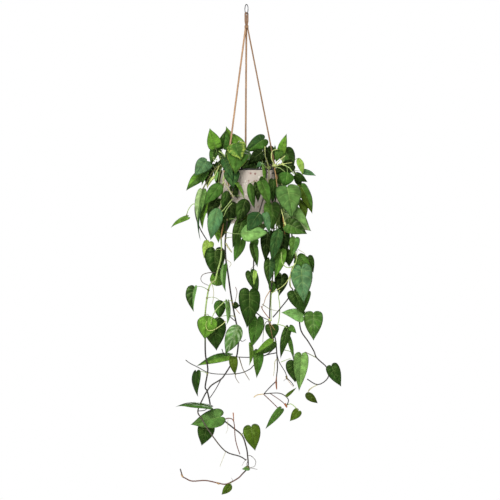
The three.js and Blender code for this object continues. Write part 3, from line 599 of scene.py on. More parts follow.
            (46, -20, -444, 4, -40, -483, 37, 0, 5, "veryDark"),
            (46, -42, -478, 28, -52, -490, 17, 0, 0, "bluish"),
            (10, 6, -470, -18, -8, -500, 40, -10, 20, "dark"),
            (46, 20, -438, 30, 16, -495, 46, 0, 0, "veryDark"),
            (64, 34, -429, 72, 36, -486, 38, 0, 0, "dark"),
        ],
        "roots": [
            ("shoot", 0.7, [(55.5, -22, -426), (55.5, -27, -444), (57, -30, -462)]),
        ],
    },
    "vine_crown_right": {
        "root": (42, -20),
        "stems": [
            ("young", 2, 1.3, [(56, -25, -500), (70, -31, -488), (83, -35, -486), (100, -32, -484),
                (118, -24, -482), (142, -12, -500), (156, -2, -516)]),
            ("young", 0.9, 1.3, [(92, -34, -486), (108, -34, -480), (113, -34, -479)]),
        ],
        "leaves": [
            (124, -58, -504, 113, -64, -549, 48, 0, 0, "mid+oval"),
            (136, -36, -483, 74, -46, -510, 40, 0, 0, "veryDark"),
            (116, -20, -438, 140, -24, -498, 50, 15, 0, "mid/dark"),
            (104, -30, -444, 121, -32, -388, 27, 5, 0, "bright"),
            (100, -34, -440, 88, -36, -474, 26, 0, 0, "mid"),
            (156, -20, -461, 170, -24, -513, 24, 30, 0, "lime+oval"),
            (170, -6, -501, 210, -8, -515, 20, 0, 25, "bluish"),
            (146, -6, -513, 184, -6, -534, 26, 0, 0, "dark"),
            (152, 8, -522, 166, 8, -552, 21, 0, 0, "dark"),
        ],
        "roots": [
            ("shoot", 2.4, [(78, -46, -484.5), (88.5, -48, -484.5)]),
            ("shoot", 2.2, [(106.5, -52, -477.6), (113.4, -54, -484.5)]),
            ("shoot", 0.9, [(85.5, -46, -483), (100.5, -53, -468), (117, -54, -454.5)]),
            ("shoot", 0.9, [(85.5, -46, -486), (109.5, -55, -480), (136.5, -56, -475.5)]),
            ("shoot", 1.0, [(84, -46, -483), (75, -48, -462), (78, -42, -441), (94.5, -40, -435)]),
            ("young", 0.9, [(112.5, -54, -483), (129, -64, -492), (141, -68, -510)]),
            ("young", 0.7, [(85.5, -47, -489), (100.5, -56, -492), (115.5, -66, -504)]),
            ("olive", 1.3, [(58.5, -56, -462), (66, -76, -489), (67.5, -88, -516), (64.5, -92, -543)]),
            ("tan", 1.0, [(84, -60, -492), (88.5, -86, -519), (91.5, -90, -549)]),
        ],
    },
    "vine_right": {
        "root": (54, 5),
        "lowerStem": [("old", -800)],
        "stems": [
            ("young", 2.2, 1.4, [(68, 4, -496), (90, 2, -482), (103, -3, -508), (108, -18, -560),
                (112, -36, -620), (122, -58, -680), (146, -78, -744), (146, -88, -780),
                (134, -92, -804), (130, -92, -843), (138, -90, -864), (100, -96, -915),
                (79, -95, -940)]),
        ],
        "leaves": [
            (122, -86, -549, 136, -102, -644, 78, 12, 0, "soft+faint"),
            (164, -48, -546, 198, -56, -630, 40, 25, 0, "olive/mid"),
            (128, -70, -624, 194, -80, -681, 62, 5, 0, "pale/light"),
            (166, -52, -588, 176, -58, -648, 28, 15, 0, "olive"),
            (122, -109, -660, 182, -113, -690, 50, 0, 10, "mid/dark+veins"),
            (146, -108, -702, 136, -112, -760, 32, 0, 0, "mid/soft"),
            (153, -94, -762, 197, -98, -795, 42, 0, 0, "mid"),
            (184, -84, -759, 201, -86, -807, 32, 10, 0, "dark"),
            (128, -76, -738, 128, -78, -789, 37, 0, 0, "dark"),
            (164, -110, -792, 172, -118, -897, 66, 0, 0, "bluish+veins"),
            (115, -60, -636, 118, -64, -738, 30, 0, 0, "veryDark"),
        ],
        "roots": [
            ("young", 0.9, [(105, -104, -744), (106.5, -112, -774), (118.5, -114, -789),
                (136.5, -114, -789), (148.5, -112, -774), (151.5, -108, -738)]),
            ("shoot", 1.0, [(145.5, -112, -777), (136.5, -110, -798), (130.5, -106, -825),
                (133.5, -100, -852)]),
            ("pale", 0.5, [(154.5, -100, -736.5), (172.5, -98, -747), (178.5, -96, -760.5)]),
            ("shoot", 2.2, [(113.4, -108, -655.5), (117.9, -108, -664.5)]),
            ("shoot", 1.0, [(103.5, -92, -615), (109.5, -102, -636), (114, -107, -657)]),
            ("young", 0.8, [(135, -68, -712), (116, -84, -738), (106, -92, -762), (110, -94, -780),
                (122, -95, -791), (144, -89, -784)]),
        ],
        "sheaths": [
            ("sheath", 2.4, [(108, -96, -636), (112, -104, -660), (115, -106, -690)]),
        ],
    },
    "vine_far_right": {
        "root": (50, 24),
        "stems": [
            ("old", 2.2, 1.3, [(64, 26, -495), (86, 28, -482), (108, 24, -530), (124, 4, -600),
                (136, -26, -690), (148, -56, -790), (154, -74, -870), (158, -82, -942),
                (164, -82, -981), (184, -80, -1011), (202, -80, -1041), (211, -80, -1062),
                (242, -78, -1092), (244, -78, -1122), (214, -76, -1142), (182, -76, -1125)]),
            ("olive", 0.9, 0.8, [(211, -80, -1062), (194, -79, -1053), (178, -82, -1045)]),
            ("pale", 0.9, 0.8, [(214, -76, -1142), (190, -74, -1155), (184, -74, -1167)]),
        ],
        "leaves": [
            (142, -98, -861, 172, -101, -932, 50, 5, 0, "dark"),
            (182, -86, -864, 170, -88, -930, 26, 0, 0, "mid"),
            (170, -96, -936, 104, -94, -924, 46, 0, 35, "light"),
            (201, -98, -927, 201, -104, -1010, 58, 0, 0, "mid+veins"),
            (143, -70, -1074, 146, -72, -1136, 52, 0, 0, "dark"),
            (165, -92, -1053, 158, -98, -1161, 46, 5, 0, "soft/light+crinkled"),
            (255, -82, -1086, 284, -86, -1148, 42, 0, 0, "dark"),
            (178, -74, -1168, 214, -76, -1198, 24, 0, 0, "darkOlive+oval"),
        ],
    },
    "vine_right_centre": {
        "root": (46, -28),
        "stems": [
            ("old", 2.2, 1.4, [(56, -42, -491), (70, -58, -483), (84, -72, -508), (88, -80, -560),
                (84, -86, -620), (82, -88, -680), (82, -88, -760), (78, -88, -820),
                (72, -88, -870), (70, -86, -948), (80, -85, -981), (88, -84, -1014),
                (92, -82, -1068), (93, -82, -1092), (90, -80, -1119), (90, -80, -1136)]),
            ("sheath", 1.7, 0.6, [(90, -80, -1134), (91, -80, -1156)]),
            ("old", 1.3, 1.1, [(86, -79, -1131), (70, -77, -1150), (52, -76, -1170)]),
            ("straw", 1, 0.8, [(51, -76, -1169), (32, -74, -1173), (22, -74, -1180)]),
            ("old", 1.2, 1.2, [(52, -76, -1169), (92, -79, -1167), (112, -80, -1173),
                (126, -80, -1188), (120, -78, -1205)]),
            ("reddish", 1, 1, [(70, -78, -1168), (100, -74, -1188), (119, -77, -1204)]),
            ("reddish", 1.2, 1.1, [(51, -76, -1172), (80, -70, -1198), (96, -70, -1214)]),
            ("young", 0.8, 0.8, [(121, -78, -1204), (134, -76, -1200), (152, -76, -1215)]),
            ("old", 1.1, 0.9, [(90, -83, -1047), (98, -80, -1074), (116, -78, -1104),
                (122, -76, -1122), (134, -76, -1134), (142, -76, -1146)]),
            ("young", 1.2, 1, [(76, -86, -966), (94, -92, -960), (100, -90, -912), (96, -90, -876),
                (100, -90, -858)]),
            ("sheath", 1.1, 1.1, [(66, -87, -946), (50, -90, -920), (44, -90, -906)]),
            ("young", 1.1, 0.9, [(96, -90, -962), (112, -86, -966), (126, -84, -974)]),
            ("old", 1.3, 0.9, [(74, -80, -1047), (46, -70, -1058), (20, -64, -1086),
                (8, -60, -1097), (-20, -58, -1108), (-68, -56, -1111), (-112, -54, -1107),
                (-146, -52, -1090), (-170, -50, -1078), (-183, -50, -1068)]),
            ("old", 1.3, 0.9, [(86, -82, -1026), (58, -72, -1054), (16, -64, -1060),
                (-28, -62, -1059), (-56, -60, -1054), (-68, -60, -1050), (-74, -60, -1035)]),
        ],
        "leaves": [
            (76, -104, -600, 76, -112, -681, 50, 5, 0, "mid/dark"),
            (56, -118, -629, 70, -120, -692, 24, 0, 0, "bluish"),
            (98, -108, -675, 76, -114, -774, 38, 0, 0, "deep+oval"),
            (64, -104, -684, 56, -106, -774, 40, 0, 0, "veryDark"),
            (109, -85, -682, 104, -87, -778, 44, 0, 0, "veryDark"),
            (104, -96, -738, 84, -100, -825, 38, 0, 0, "mid/bright"),
            (70, -104, -768, 66, -108, -843, 34, 0, 0, "dark/deep"),
            (106, -76, -813, 98, -78, -876, 42, 0, 0, "veryDark"),
            (82, -76, -834, 74, -78, -873, 27, 0, 0, "mid"),
            (76, -94, -963, 76, -96, -1011, 42, 0, 0, "dark"),
            (124, -86, -975, 102, -88, -1064, 27, 0, 0, "dark"),
            (128, -84, -1002, 142, -86, -1071, 16, 30, 0, "mid"),
            (130, -90, -968, 150, -94, -988, 19, 0, 0, "mid"),
            (-52, -62, -1056, -151, -58, -1087, 36, 0, 40, "mid/bright"),
            (81, -98, -1014, 21, -100, -1053, 36, 0, 0, "bright/dark"),
            (36, -86, -1041, 30, -88, -1123, 32, 0, 0, "mid"),
            (120, -80, -1176, 151, -78, -1150, 10, 0, 0, "olive"),
            (104, -72, -1215, 56, -70, -1276, 23, 0, 0, "mid"),
            (156, -76, -1221, 130, -76, -1252, 28, 0, 0, "olive"),
            (80, -80, -528, 79, -84, -600, 28, 0, 0, "dark"),
        ],
        "roots": [
            ("shoot", 2.0, [(66, -94, -945), (73.5, -94, -951)]),
            ("shoot", 0.9, [(145.5, -104, -780), (127.5, -104, -822), (115.5, -104, -840),
                (100.5, -104, -852), (76.5, -100, -867)]),
            ("young", 0.8, [(75, -96, -864), (73.5, -96, -900), (75, -94, -951)]),
            ("pale", 0.8, [(91.5, -83, -1064), (85, -85, -1074), (84, -86, -1092), (81, -86, -1116)]),
            ("node", 1.8, [(119.4, -77, -1116), (121.5, -77, -1126.5)]),
            ("root", 0.5, [(120.9, -77, -1122), (111, -78, -1131)]),
            ("tan", 0.5, [(121.5, -77, -1123.5), (130.5, -77, -1137), (141, -77, -1149)]),
            ("young", 0.7, [(112.5, -80, -1038), (127.5, -82, -1041), (145.5, -84, -1051.5)]),
            ("young", 0.7, [(103.5, -80, -1074), (118.5, -82, -1068), (133.5, -84, -1062)]),
            ("pale", 0.6, [(214.5, -76, -1141.5), (196.5, -77, -1152), (183, -78, -1165.5)]),
            ("sheath", 2.0, [(114.9, -78, -1198.5), (121.5, -78, -1210.5)]),
            ("node", 0.8, [(66, -100, -951), (73.5, -107, -978), (79.5, -104, -1011)]),
            ("tan", 0.6, [(70.5, -102, -957), (78, -106, -967.5), (85.5, -106, -978)]),
            ("node", 0.9, [(-22, -62, -1060), (-16, -62, -1080), (-9, -62, -1099),
                (9, -62, -1129)]),
            ("node", 0.8, [(-30, -58, -1109), (-34, -59, -1116), (-29, -60, -1128),
                (-22, -60, -1138)]),
            ("olive", 0.7, [(70, -86, -949), (58, -88, -955), (52, -88, -973), (50, -88, -995),
                (49, -88, -1015)]),
        ],
        "sheaths": [
            ("sheath", 2.8, [(90, -82, -1118), (88, -84, -1136), (90, -84, -1158)]),
        ],
    },
}


def leafFrame(place):
    base, tip = Vector(place[0:3]), Vector(place[3:6])
    rib = tip - base
    length = rib.length
    rib.normalize()
    a, e = math.radians(place[7]), math.radians(place[8])
    face = Vector((math.sin(a) * math.cos(e), -math.cos(a) * math.cos(e), math.sin(e)))
    face = (face - rib * face.dot(rib)).normalized()
    lift = place[9] if len(place) > 9 else leafForm["lift"]
    return {"base": base, "rib": rib, "face": face, "side": rib.cross(face), "length": length,
            "half": place[6] / 2, "lift": lift}


def onBlade(leaf, along, across, edgeShare=0.0, wave=0.0):
    length, half = leaf["length"], leaf["half"]
    rise = leafForm["arch"] * length * 4 * along * (1 - along) + half * leaf["lift"] * abs(across)
    rise += half * leafForm["bulge"] * (edgeShare - edgeShare ** 2) * leaf["puff"] + half * wave * edgeShare ** 2
    rise += half * across * leaf["twist"] * (along - leafForm["twistFrom"])
    curl = max(0, (along - leafForm["curlFrom"]) / (1 - leafForm["curlFrom"])) ** 2
    rise -= leafForm["curl"] * length * leaf["droop"] * curl
    sway = length * leaf["sway"] * along * (1 - along)
    spread = half * across * math.sqrt(1 - 0.8 * leaf["lift"] ** 2) + sway
    return leaf["base"] + leaf["rib"] * (length * along) + leaf["side"] * spread + leaf["face"] * rise


def drawn(chance, spans):
    return [chance.uniform(*span) for span in spans]


def addBlade(shape, place, toneWord, chance):
    leaf = leafFrame(place)
    words, *extras = toneWord.split("+")
    leaf.update(zip(leafChance, drawn(chance, leafChance.values())))
    tones = [paint(leafTones[word]) for word in words.split("/")]
    tones = [tuple(c * chance.uniform(*toneChance) for c in tone) for tone in (tones[0], tones[-1])]
    veins, crinkles, rim = drawn(chance, plainChance)
    marks = next((leafMarks[word] for word in extras if word in leafMarks), (veins, 0.0, crinkles, rim))
    waves = [drawn(chance, waveChance) for _ in range(2)]
    foldHigh, foldOften, foldStart = drawn(chance, foldChance)
    count, last = leafForm["across"], len(veinLines) - 1
    seen = {}

    def corner(layer, i, j):
        # Point j of line i, on top or on the underside; both sides share the edge, the notch and the tip
        if i in (0, last):
            j = layer = 0
        if abs(j) == count:
            layer = 0
        if (layer, i, j) in seen:
            return seen[layer, i, j]
        start, endAlong, endAcross = veinLines[i]
        if "oval" in extras and i < leafForm["widestLine"]:
            endAlong = leafForm["ovalTop"] * (1 - math.sqrt(1 - endAcross ** 2))
        elif "oval" in extras:
            endAlong **= leafForm["ovalTip"]
        elif endAlong < 0:
            endAlong *= leaf["notch"]
        v = (abs(j) / count) ** leafForm["crowding"]
        sign = 1 if j > 0 else -1
        bow, edgeBow = leafForm["veinBow"], leafForm["edgeBow"]
        along = start + (endAlong - start) * (bow * v + (1 - bow) * v * v)
        across = sign * endAcross * ((1 + edgeBow) * v - edgeBow * v * v)
        down = i / last
        high, often, phase = waves[0 if j > 0 else 1]
        wave = high * math.sin(often * fullTurn * down + phase) * (1 - down ** 4)
        point = onBlade(leaf, along, across, v, wave)
        shift = foldStart + (leafForm["foldShift"] if j > 0 else 0)
        fold = foldHigh * leafForm["fold"] * math.sin(foldOften * fullTurn * down + shift)
        fold *= 4 * v * (1 - v) * min(1, leafForm["foldFade"] * (1 - down))
        point += leaf["face"] * (leaf["half"] * fold)
        if layer:
            thick = leafForm["thick"] * (1 - v ** 4)
            thick += leafForm["ribThick"] * math.exp(-(v / leafForm["ribReach"]) ** 2) * (1 - along)
            point -= leaf["face"] * thick
        # The two tones, partly painted light and shade, blend across the rib
        tone = blend(tones[1], tones[0], smoothStep(-leafForm["seam"], leafForm["seam"], sign * v))
        seen[layer, i, j] = addPoint(shape, point, tone, marks, (0.5 + sign * v / 2, down))
        return seen[layer, i, j]

    for i in range(last):
        for j in range(-count, count):
            ways = ((i, j), (i, j + 1), (i + 1, j + 1), (i + 1, j))
            addFace(shape, [corner(0, *way) for way in ways], 0)
            addFace(shape, [corner(1, *way) for way in (ways[0], *ways[:0:-1])], 1)
    return leaf


def nearestOn(paths, spot):
    # The place on the stems, the way the stem runs there and its radius
    best = None
    for path in paths:
        for (start, radius), (end, _) in zip(path, path[1:]):
            way = end - start
            share = min(max((spot - start).dot(way) / max(way.length_squared, 1e-9), 0), 1)
            place = start + way * share
            if best is None or (place - spot).length < (best[0] - spot).length:
                best = place, way.normalized(), radius
    return best


# The stretch between rim and hidden is inside the pot or behind its wall and holds no leaf, unless it is in front
stemForm = {"steps": 4, "sides": 8, "start": -541, "rise": -524, "swell": 1.25, "least": 1.3, "toneFade": 25,
            "rim": -500.5, "hidden": -560, "front": -60}
petioleForm = {"root": 1.0, "end": 0.75, "tip": 0.6, "swell": 0.5, "swellSteps": 1.2, "steps": 9, "sides": 6,
               "bendAt": 0.6, "behind": 0.3, "meets": 0.02, "under": 0.6, "reach": 0.07, "reachUnder": 0.7}
nodeForm = {"spots": (-2.8, -1.4, 0, 1.4, 2.8), "sizes": (1.0, 1.12, 1.3, 1.1, 1.0), "chance": (0.97, 1.1),
            "tint": 0.75}
rootForm = {"steps": 5, "sides": 6, "thick": 1.15, "taper": 0.5, "swell": 1.6}
sheathForm = {"sides": 8, "flat": 0.5, "least": 0.15, "from": 0.12, "reach": 0.86}


def addStem(shape, points, startRadius, endRadius, toneAt):
    course = smoothPath(points, stemForm["steps"])
    last = len(course) - 1
    radii = [max((startRadius + (endRadius - startRadius) * i / last) * stemForm["swell"], stemForm["least"])
             for i in range(last + 1)]
    addTube(shape, course, radii, [toneAt(p) for p in course], stemForm["sides"])
    return list(zip(course, radii))


def addPetiole(shape, leaf, paths, chance, tone):
    form = petioleForm
    end = onBlade(leaf, form["meets"], 0) - leaf["face"] * form["under"]
    start, way, stemRadius = nearestOn(paths, leaf["base"])
    away = (end - start).length
    bend = start.lerp(end, form["bendAt"]) - leaf["rib"] * (form["behind"] * away)
    course = []
    for i in range(form["steps"] + 1):
        t = i / form["steps"]
        course.append(start * (1 - t) ** 2 + bend * (2 * t * (1 - t)) + end * t * t)
    course.append(onBlade(leaf, form["reach"], 0) - leaf["face"] * form["reachUnder"])
    last = len(course) - 1
    radii = []
    for i in range(last + 1):
        swell = 1 + form["swell"] * math.exp(-(i / form["swellSteps"]) ** 2)
        radii.append((form["root"] + (form["end"] - form["root"]) * i / last) * swell)
    radii[-1] *= form["tip"]
    addTube(shape, course, radii, tone, form["sides"])
    # the ring that a leaf leaves on the stem
    spots = [start + way * step for step in nodeForm["spots"]]
    sizes = [stemRadius * size * chance.uniform(*nodeForm["chance"]) for size in nodeForm["sizes"]]
    addTube(shape, spots, sizes, blend(tone, paint(stemTones["node"]), nodeForm["tint"]))


def addSmallPart(shape, word, points, radiusAt, sides, flat=1.0):
    # radiusAt is given how far along the part a point is, from 0 to 1
    course = smoothPath([Vector(p) for p in points], rootForm["steps"])
    radii = [radiusAt(i / (len(course) - 1)) for i in range(len(course))]
    addTube(shape, course, radii, paint(stemTones[word]), sides, flat)


def makeVine(name, plan, seed):
    chance = random.Random(seed)
    blades, stalks = newShape(), newShape()
    paths = []
    for i, (word, startRadius, endRadius, points) in enumerate(plan["stems"]):
        points = [Vector(p) for p in points]
        lower = [] if i else [(paint(stemTones[w]), height) for w, height in plan.get("lowerStem", [])]

        def toneAt(point, tone=paint(stemTones[word]), lower=lower):
            for part, height in lower:
                tone = blend(part, tone, smoothStep(height - stemForm["toneFade"], height + stemForm["toneFade"],
                                                    point.z))
            return tone

        if i == 0:
            x, y = plan["root"]
            points = [Vector((x, y, stemForm["start"])), Vector((x, y, stemForm["rise"]))] + points
        else:
            points[0] = nearestOn(paths, points[0])[0]
        course = addStem(stalks, points, startRadius, endRadius, toneAt)
        paths.append([(p, r) for p, r in course if i or p.z > stemForm["rim"] or p.z < stemForm["hidden"]
                      or p.y < stemForm["front"]])
    for *place, word in plan["leaves"]:
        leaf = addBlade(blades, place, word, chance)
        fresh = blend(paint(stemTones["young"]), paint(leafTones["mid"]), chance.uniform(0.1, 0.6))
        addPetiole(stalks, leaf, paths, chance, fresh)
    for word, radius, points in plan.get("roots", []):
        radius *= rootForm["swell"]
        addSmallPart(stalks, word, points, lambda t: radius * (rootForm["thick"] - rootForm["taper"] * t),
                     rootForm["sides"])
    least, low, reach = sheathForm["least"], sheathForm["from"], sheathForm["reach"]
    for word, radius, points in plan.get("sheaths", []):
        addSmallPart(stalks, word, points,
                     lambda t: radius * (least + (1 - least) * math.sin(math.pi * (low + reach * t))),
                     sheathForm["sides"], sheathForm["flat"])
    short = name.replace("vine_", "")
    makePiece("leaves_" + short, blades, (leafSkin, leafUnderside), "plant", name)
    makePiece("stems_" + short, stalks, (stemSkin,), "plant", name)


# Profiles are radius and height; a fleck is its number in a metre, its size and its colour
pot = {
    "x": 7, "segments": 96, "holes": {"left": 217, "right": 347, "back": 97}, "holeRadius": 3.7, "holeLevel": -524,
    "holeAt": 85, "holeDepth": 24, "foot": [(0, -658), (58, -658)], "floor": [(0, -650)],
    "outer": [(62, -658), (77, -652), (87, -632), (92, -600), (90, -562), (85, -524), (80, -499.5)],
    "inner": [(74.5, -499.5), (79, -524), (84, -562), (86, -600), (81, -629), (71, -646), (56, -650)],
    "rim": [(79.7, -498.4), (78.6, -498), (76, -498), (74.9, -498.4)], "smooth": 5,
    "clay": "#b9aea2", "warm": "#b0a094", "speck": "#8a655e", "paleSpeck": "#dbd3ca", "grain": (900.0, 28.0),
    "warmth": 0.6, "paleGrain": 0.25, "fleckTint": 0.95, "fleckEdge": 0.03, "bumpDepth": 0.0006,
    "flecks": ((75.0, 0.29, "speck"), (130.0, 0.3, "speck"), (105.0, 0.3, "paleSpeck")),
}


def turned(radius, degrees, z):
    a = math.radians(degrees)
    return Vector((pot["x"] + radius * math.cos(a), radius * math.sin(a), z))


# The vines round the back hang down the pot's wall, with leaves to both sides in turn
backVines = {"turns": [34, 64, 94, 124, 153], "leaves": [9, 6, 6, 5, 5], "reach": 111, "apart": 12, "step": 31,
             "root": 46, "overRim": ((60, -496), (84, -481), (98, -505)), "hangs": 101, "first": -476,
             "crown": ((88, 2, -466), (100, 4, -420)), "crownWide": 40, "thick": (2, 1.2),
             "tones": ["mid", "dark", "bluish", "dark", "bright/mid", "mid", "olive", "veryDark", "mid/dark", "soft"]}
state = 5


def draw(low, high):  # the same draws as the solids have
    global state
    state = state * 16807 % 2147483647
    return low + (high - low) * state / 2147483647


def planBackVine(turn, count, shift):
    tones = backVines["tones"]

    def at(radius, side, z):
        return tuple(turned(radius, turn + side, z))

    stem = [at(radius, 0, z) for radius, z in backVines["overRim"]]
    top = backVines["overRim"][-1][1]
    for i in range(1, count - 1):
        stem.append(at(backVines["hangs"], 1 if i % 2 else -1, top - backVines["step"] * i))
    base, tip = [at(*place) for place in backVines["crown"]]
    leaves = [(*base, *tip, backVines["crownWide"], turn + 90, 0, tones[shift % len(tones)])]
    for i in range(count):
        side = 1 if i % 2 else -1
        z = backVines["first"] - backVines["step"] * i + draw(-4, 4)
        size = draw(44, 54)
        reach = backVines["reach"] + i % 2 * backVines["apart"] + draw(-1.5, 1.5)
        base = at(reach, side * draw(4, 6), z)
        tip = at(reach + draw(9, 12), side * draw(9, 12), z - size * 1.15)
        word = tones[(shift + 3 * i + 1) % len(tones)]
        leaves.append((*base, *tip, size * 0.9, turn + 90 + side * 12, 0, word))
    word = "old" if shift % 2 else "young"
    return {"root": at(backVines["root"], 0, 0)[:2], "stems": [(word, *backVines["thick"], stem)], "leaves": leaves}


for i, turn in enumerate(backVines["turns"]):
    vines[f"vine_back_{i + 1}"] = planBackVine(turn, backVines["leaves"][i], i)
for i, (name, plan) in enumerate(vines.items()):
    makeVine(name, plan, 100 + i)
print("vines made:", len(vines))


def dressClay(tree, place):
    grain = grainAt(tree, place, *pot["grain"])
    warm = ramp(tree, grain["Coarse"], 0.3, 0.75, 0.0, pot["warmth"])
    pale = ramp(tree, grain["Fine"], 0.3, 0.75, 0.0, pot["paleGrain"])
    colour = mixColour(tree, warm, paint(pot["clay"]), paint(pot["warm"]))
    colour = mixColour(tree, pale, colour, paint(pot["paleSpeck"]))
    for scale, size, word in pot["flecks"]:
        cells = addNode(tree, "ShaderNodeTexVoronoi", {"Vector": place, "Scale": scale, "Randomness": 1.0}).outputs
        kept = split(tree, cells["Color"])
        reach = product(tree, ramp(tree, kept["Red"], 0.0, 1.0, 0.55, 1.0), size)
        inside = calc(tree, "SUBTRACT", reach, cells["Distance"])
        fleck = product(tree, ramp(tree, inside, 0.0, pot["fleckEdge"]),
                        vary(tree, kept["Green"], 0.0, pot["fleckTint"]))
        colour = mixColour(tree, fleck, colour, paint(pot[word]))
    return {"Base Color": colour, "Roughness": vary(tree, grain["Coarse"], 0.72, 0.58),
            "Normal": bump(tree, grain["Fine"], pot["bumpDepth"], 0.6)}


def turnedRing(shape, radius, z, segments):
    # Points round the pot's axis, or one on it
    if radius == 0:
        return [addPoint(shape, turned(0, 0, z))] * segments
    return [addPoint(shape, turned(radius, 360 * k / segments, z)) for k in range(segments)]


def revolve(name, profile, segments, material, slot, *nodes):
    # A closed solid; its profile starts and ends on the axis, or at one point
    shape = newShape()
    rings = [turnedRing(shape, radius, z, segments) for radius, z in profile[:-1]]
    rings.append(rings[0] if profile[-1] == profile[0] else turnedRing(shape, *profile[-1], segments))
    bridge(shape, rings)
    return makePiece(name, shape, (material,), slot, *nodes)


def smoothProfile(profile):
    return [(p.x, p.y) for p in smoothPath([Vector((r, z, 0)) for r, z in profile], pot["smooth"])]


potWall = pot["foot"] + smoothProfile(pot["outer"]) + pot["rim"] + smoothProfile(pot["inner"]) + pot["floor"]
potPiece = revolve("pot_body", potWall, pot["segments"], makeFinish("speckledClay", dressClay), "ceramic", "pot")
for turn in pot["holes"].values():
    bpy.ops.mesh.primitive_cylinder_add(vertices=24, radius=pot["holeRadius"] * mm, depth=pot["holeDepth"] * mm,
                                        location=turned(pot["holeAt"], turn, pot["holeLevel"]) * mm,
                                        rotation=(0, math.pi / 2, math.radians(turn)))
    cutter = bpy.context.object
    cut = potPiece.modifiers.new("laceHole", "BOOLEAN")
    cut.object = cutter
    cut.solver = "EXACT"
    bpy.context.view_layer.update()
    dressed = bpy.data.meshes.new_from_object(potPiece.evaluated_get(bpy.context.evaluated_depsgraph_get()))
    potPiece.modifiers.clear()
    potPiece.data = dressed
    bpy.data.objects.remove(cutter)
print("pot made")


# A dark ring that stands on the pot's rim, with a short wall down inside it: each point its radius and height
darkRimRing = {"colour": "#17181a", "dust": "#3a352d", "grain": (700.0, 50.0), "segments": 72, "profile": [
    (72.6, -514), (74, -514), (74, -497.9), (74.3, -497.7), (78.2, -497.7), (78.6, -497.4), (78.6, -493.7),
    (78.1, -493.2), (73.1, -493.2), (72.6, -493.7), (72.6, -514)]}


def dressDarkRim(tree, place):
    grain = grainAt(tree, place, *darkRimRing["grain"])
    dust = ramp(tree, grain["Coarse"], 0.5, 0.8, 0.0, 0.35)
    return {"Base Color": mixColour(tree, dust, paint(darkRimRing["colour"]), paint(darkRimRing["dust"])),
            "Roughness": vary(tree, grain["Coarse"], 0.42, 0.6), "Normal": bump(tree, grain["Fine"], 0.0002)}


revolve("dark_rim_ring", darkRimRing["profile"], darkRimRing["segments"], makeFinish("darkRimFinish", dressDarkRim), "plastic",
        "liner_rim")
print("liner made")

# The soil falls from the middle of the pot to its wall; a lump is its height and how often it comes
soilBed = {
    "edge": 78.5, "edgeZ": -538, "inner": 52, "innerZ": -534, "centreZ": -531, "segments": 72, "rows": 22,
    "lumps": ((1.6, 0.16), (0.8, 0.5)), "below": ((82.5, -562), (84.5, -600), (79.5, -628.5), (70, -645),
                                                  (55, -649.2), (0, -649.2)),
    "dark": "#2a1d14", "mid": "#4a3524", "grain": (600.0, 130.0),
}


def dressSoil(tree, place):
    grain = grainAt(tree, place, *soilBed["grain"])
    colour = mixColour(tree, ramp(tree, grain["Coarse"], 0.35, 0.7), paint(soilBed["dark"]), paint(soilBed["mid"]))
    return {"Base Color": colour, "Roughness": vary(tree, grain["Fine"], 0.85, 1.0),
            "Normal": bump(tree, grain["Fine"], 0.002)}


earth = makeFinish("soilEarth", dressSoil)


def soilHeight(radius):
    if radius < soilBed["inner"]:
        return soilBed["centreZ"] + (soilBed["innerZ"] - soilBed["centreZ"]) * radius / soilBed["inner"]
    share = (radius - soilBed["inner"]) / (soilBed["edge"] - soilBed["inner"])
    return soilBed["innerZ"] + (soilBed["edgeZ"] - soilBed["innerZ"]) * share


def makeSoilBed():
    shape = newShape()
    segments, rows = soilBed["segments"], soilBed["rows"]
    rings = [turnedRing(shape, 0, soilBed["centreZ"], segments)]
    for i in range(1, rows + 1):
        radius = soilBed["edge"] * i / rows
        ring = []
        for k in range(segments):
            place = turned(radius, 360 * k / segments, soilHeight(radius))
            if i < rows:
                place.z += sum(high * noise.noise(place * often) for high, often in soilBed["lumps"])
            ring.append(addPoint(shape, place))
        rings.append(ring)
    rings += [turnedRing(shape, radius, z, segments) for radius, z in soilBed["below"]]
    bridge(shape, rings, downward=True)
    makePiece("soil_bed", shape, (earth,), "soil", "soil")


# Crumbs and perlite: a ball of three rings between two ends, each knocked out of shape
soilCrumbs = {
    "count": 420, "reach": 75, "size": (0.8, 2.6), "stretch": ((0.6, 1.3), (0.6, 1.3), (0.4, 0.8)), "sunk": 0.25,
    "knock": (0.8, 1.15), "rings": ((0.85, 0.5), (0.95, -0.2), (0.5, -0.85)), "sides": (0, 1.257, 2.513, 3.77, 5.027),
    "perliteEvery": 5, "seed": 11, "perlite": "#d8d2c4", "dirt": "#a89a80", "grain": (1500.0, 300.0),
}


def dressPerlite(tree, place):
    grain = grainAt(tree, place, *soilCrumbs["grain"])
    colour = mixColour(tree, ramp(tree, grain["Coarse"], 0.4, 0.8), paint(soilCrumbs["perlite"]),
                       paint(soilCrumbs["dirt"]))
    return {"Base Color": colour, "Roughness": vary(tree, grain["Fine"], 0.75, 0.95),
            "Normal": bump(tree, grain["Fine"], 0.001)}


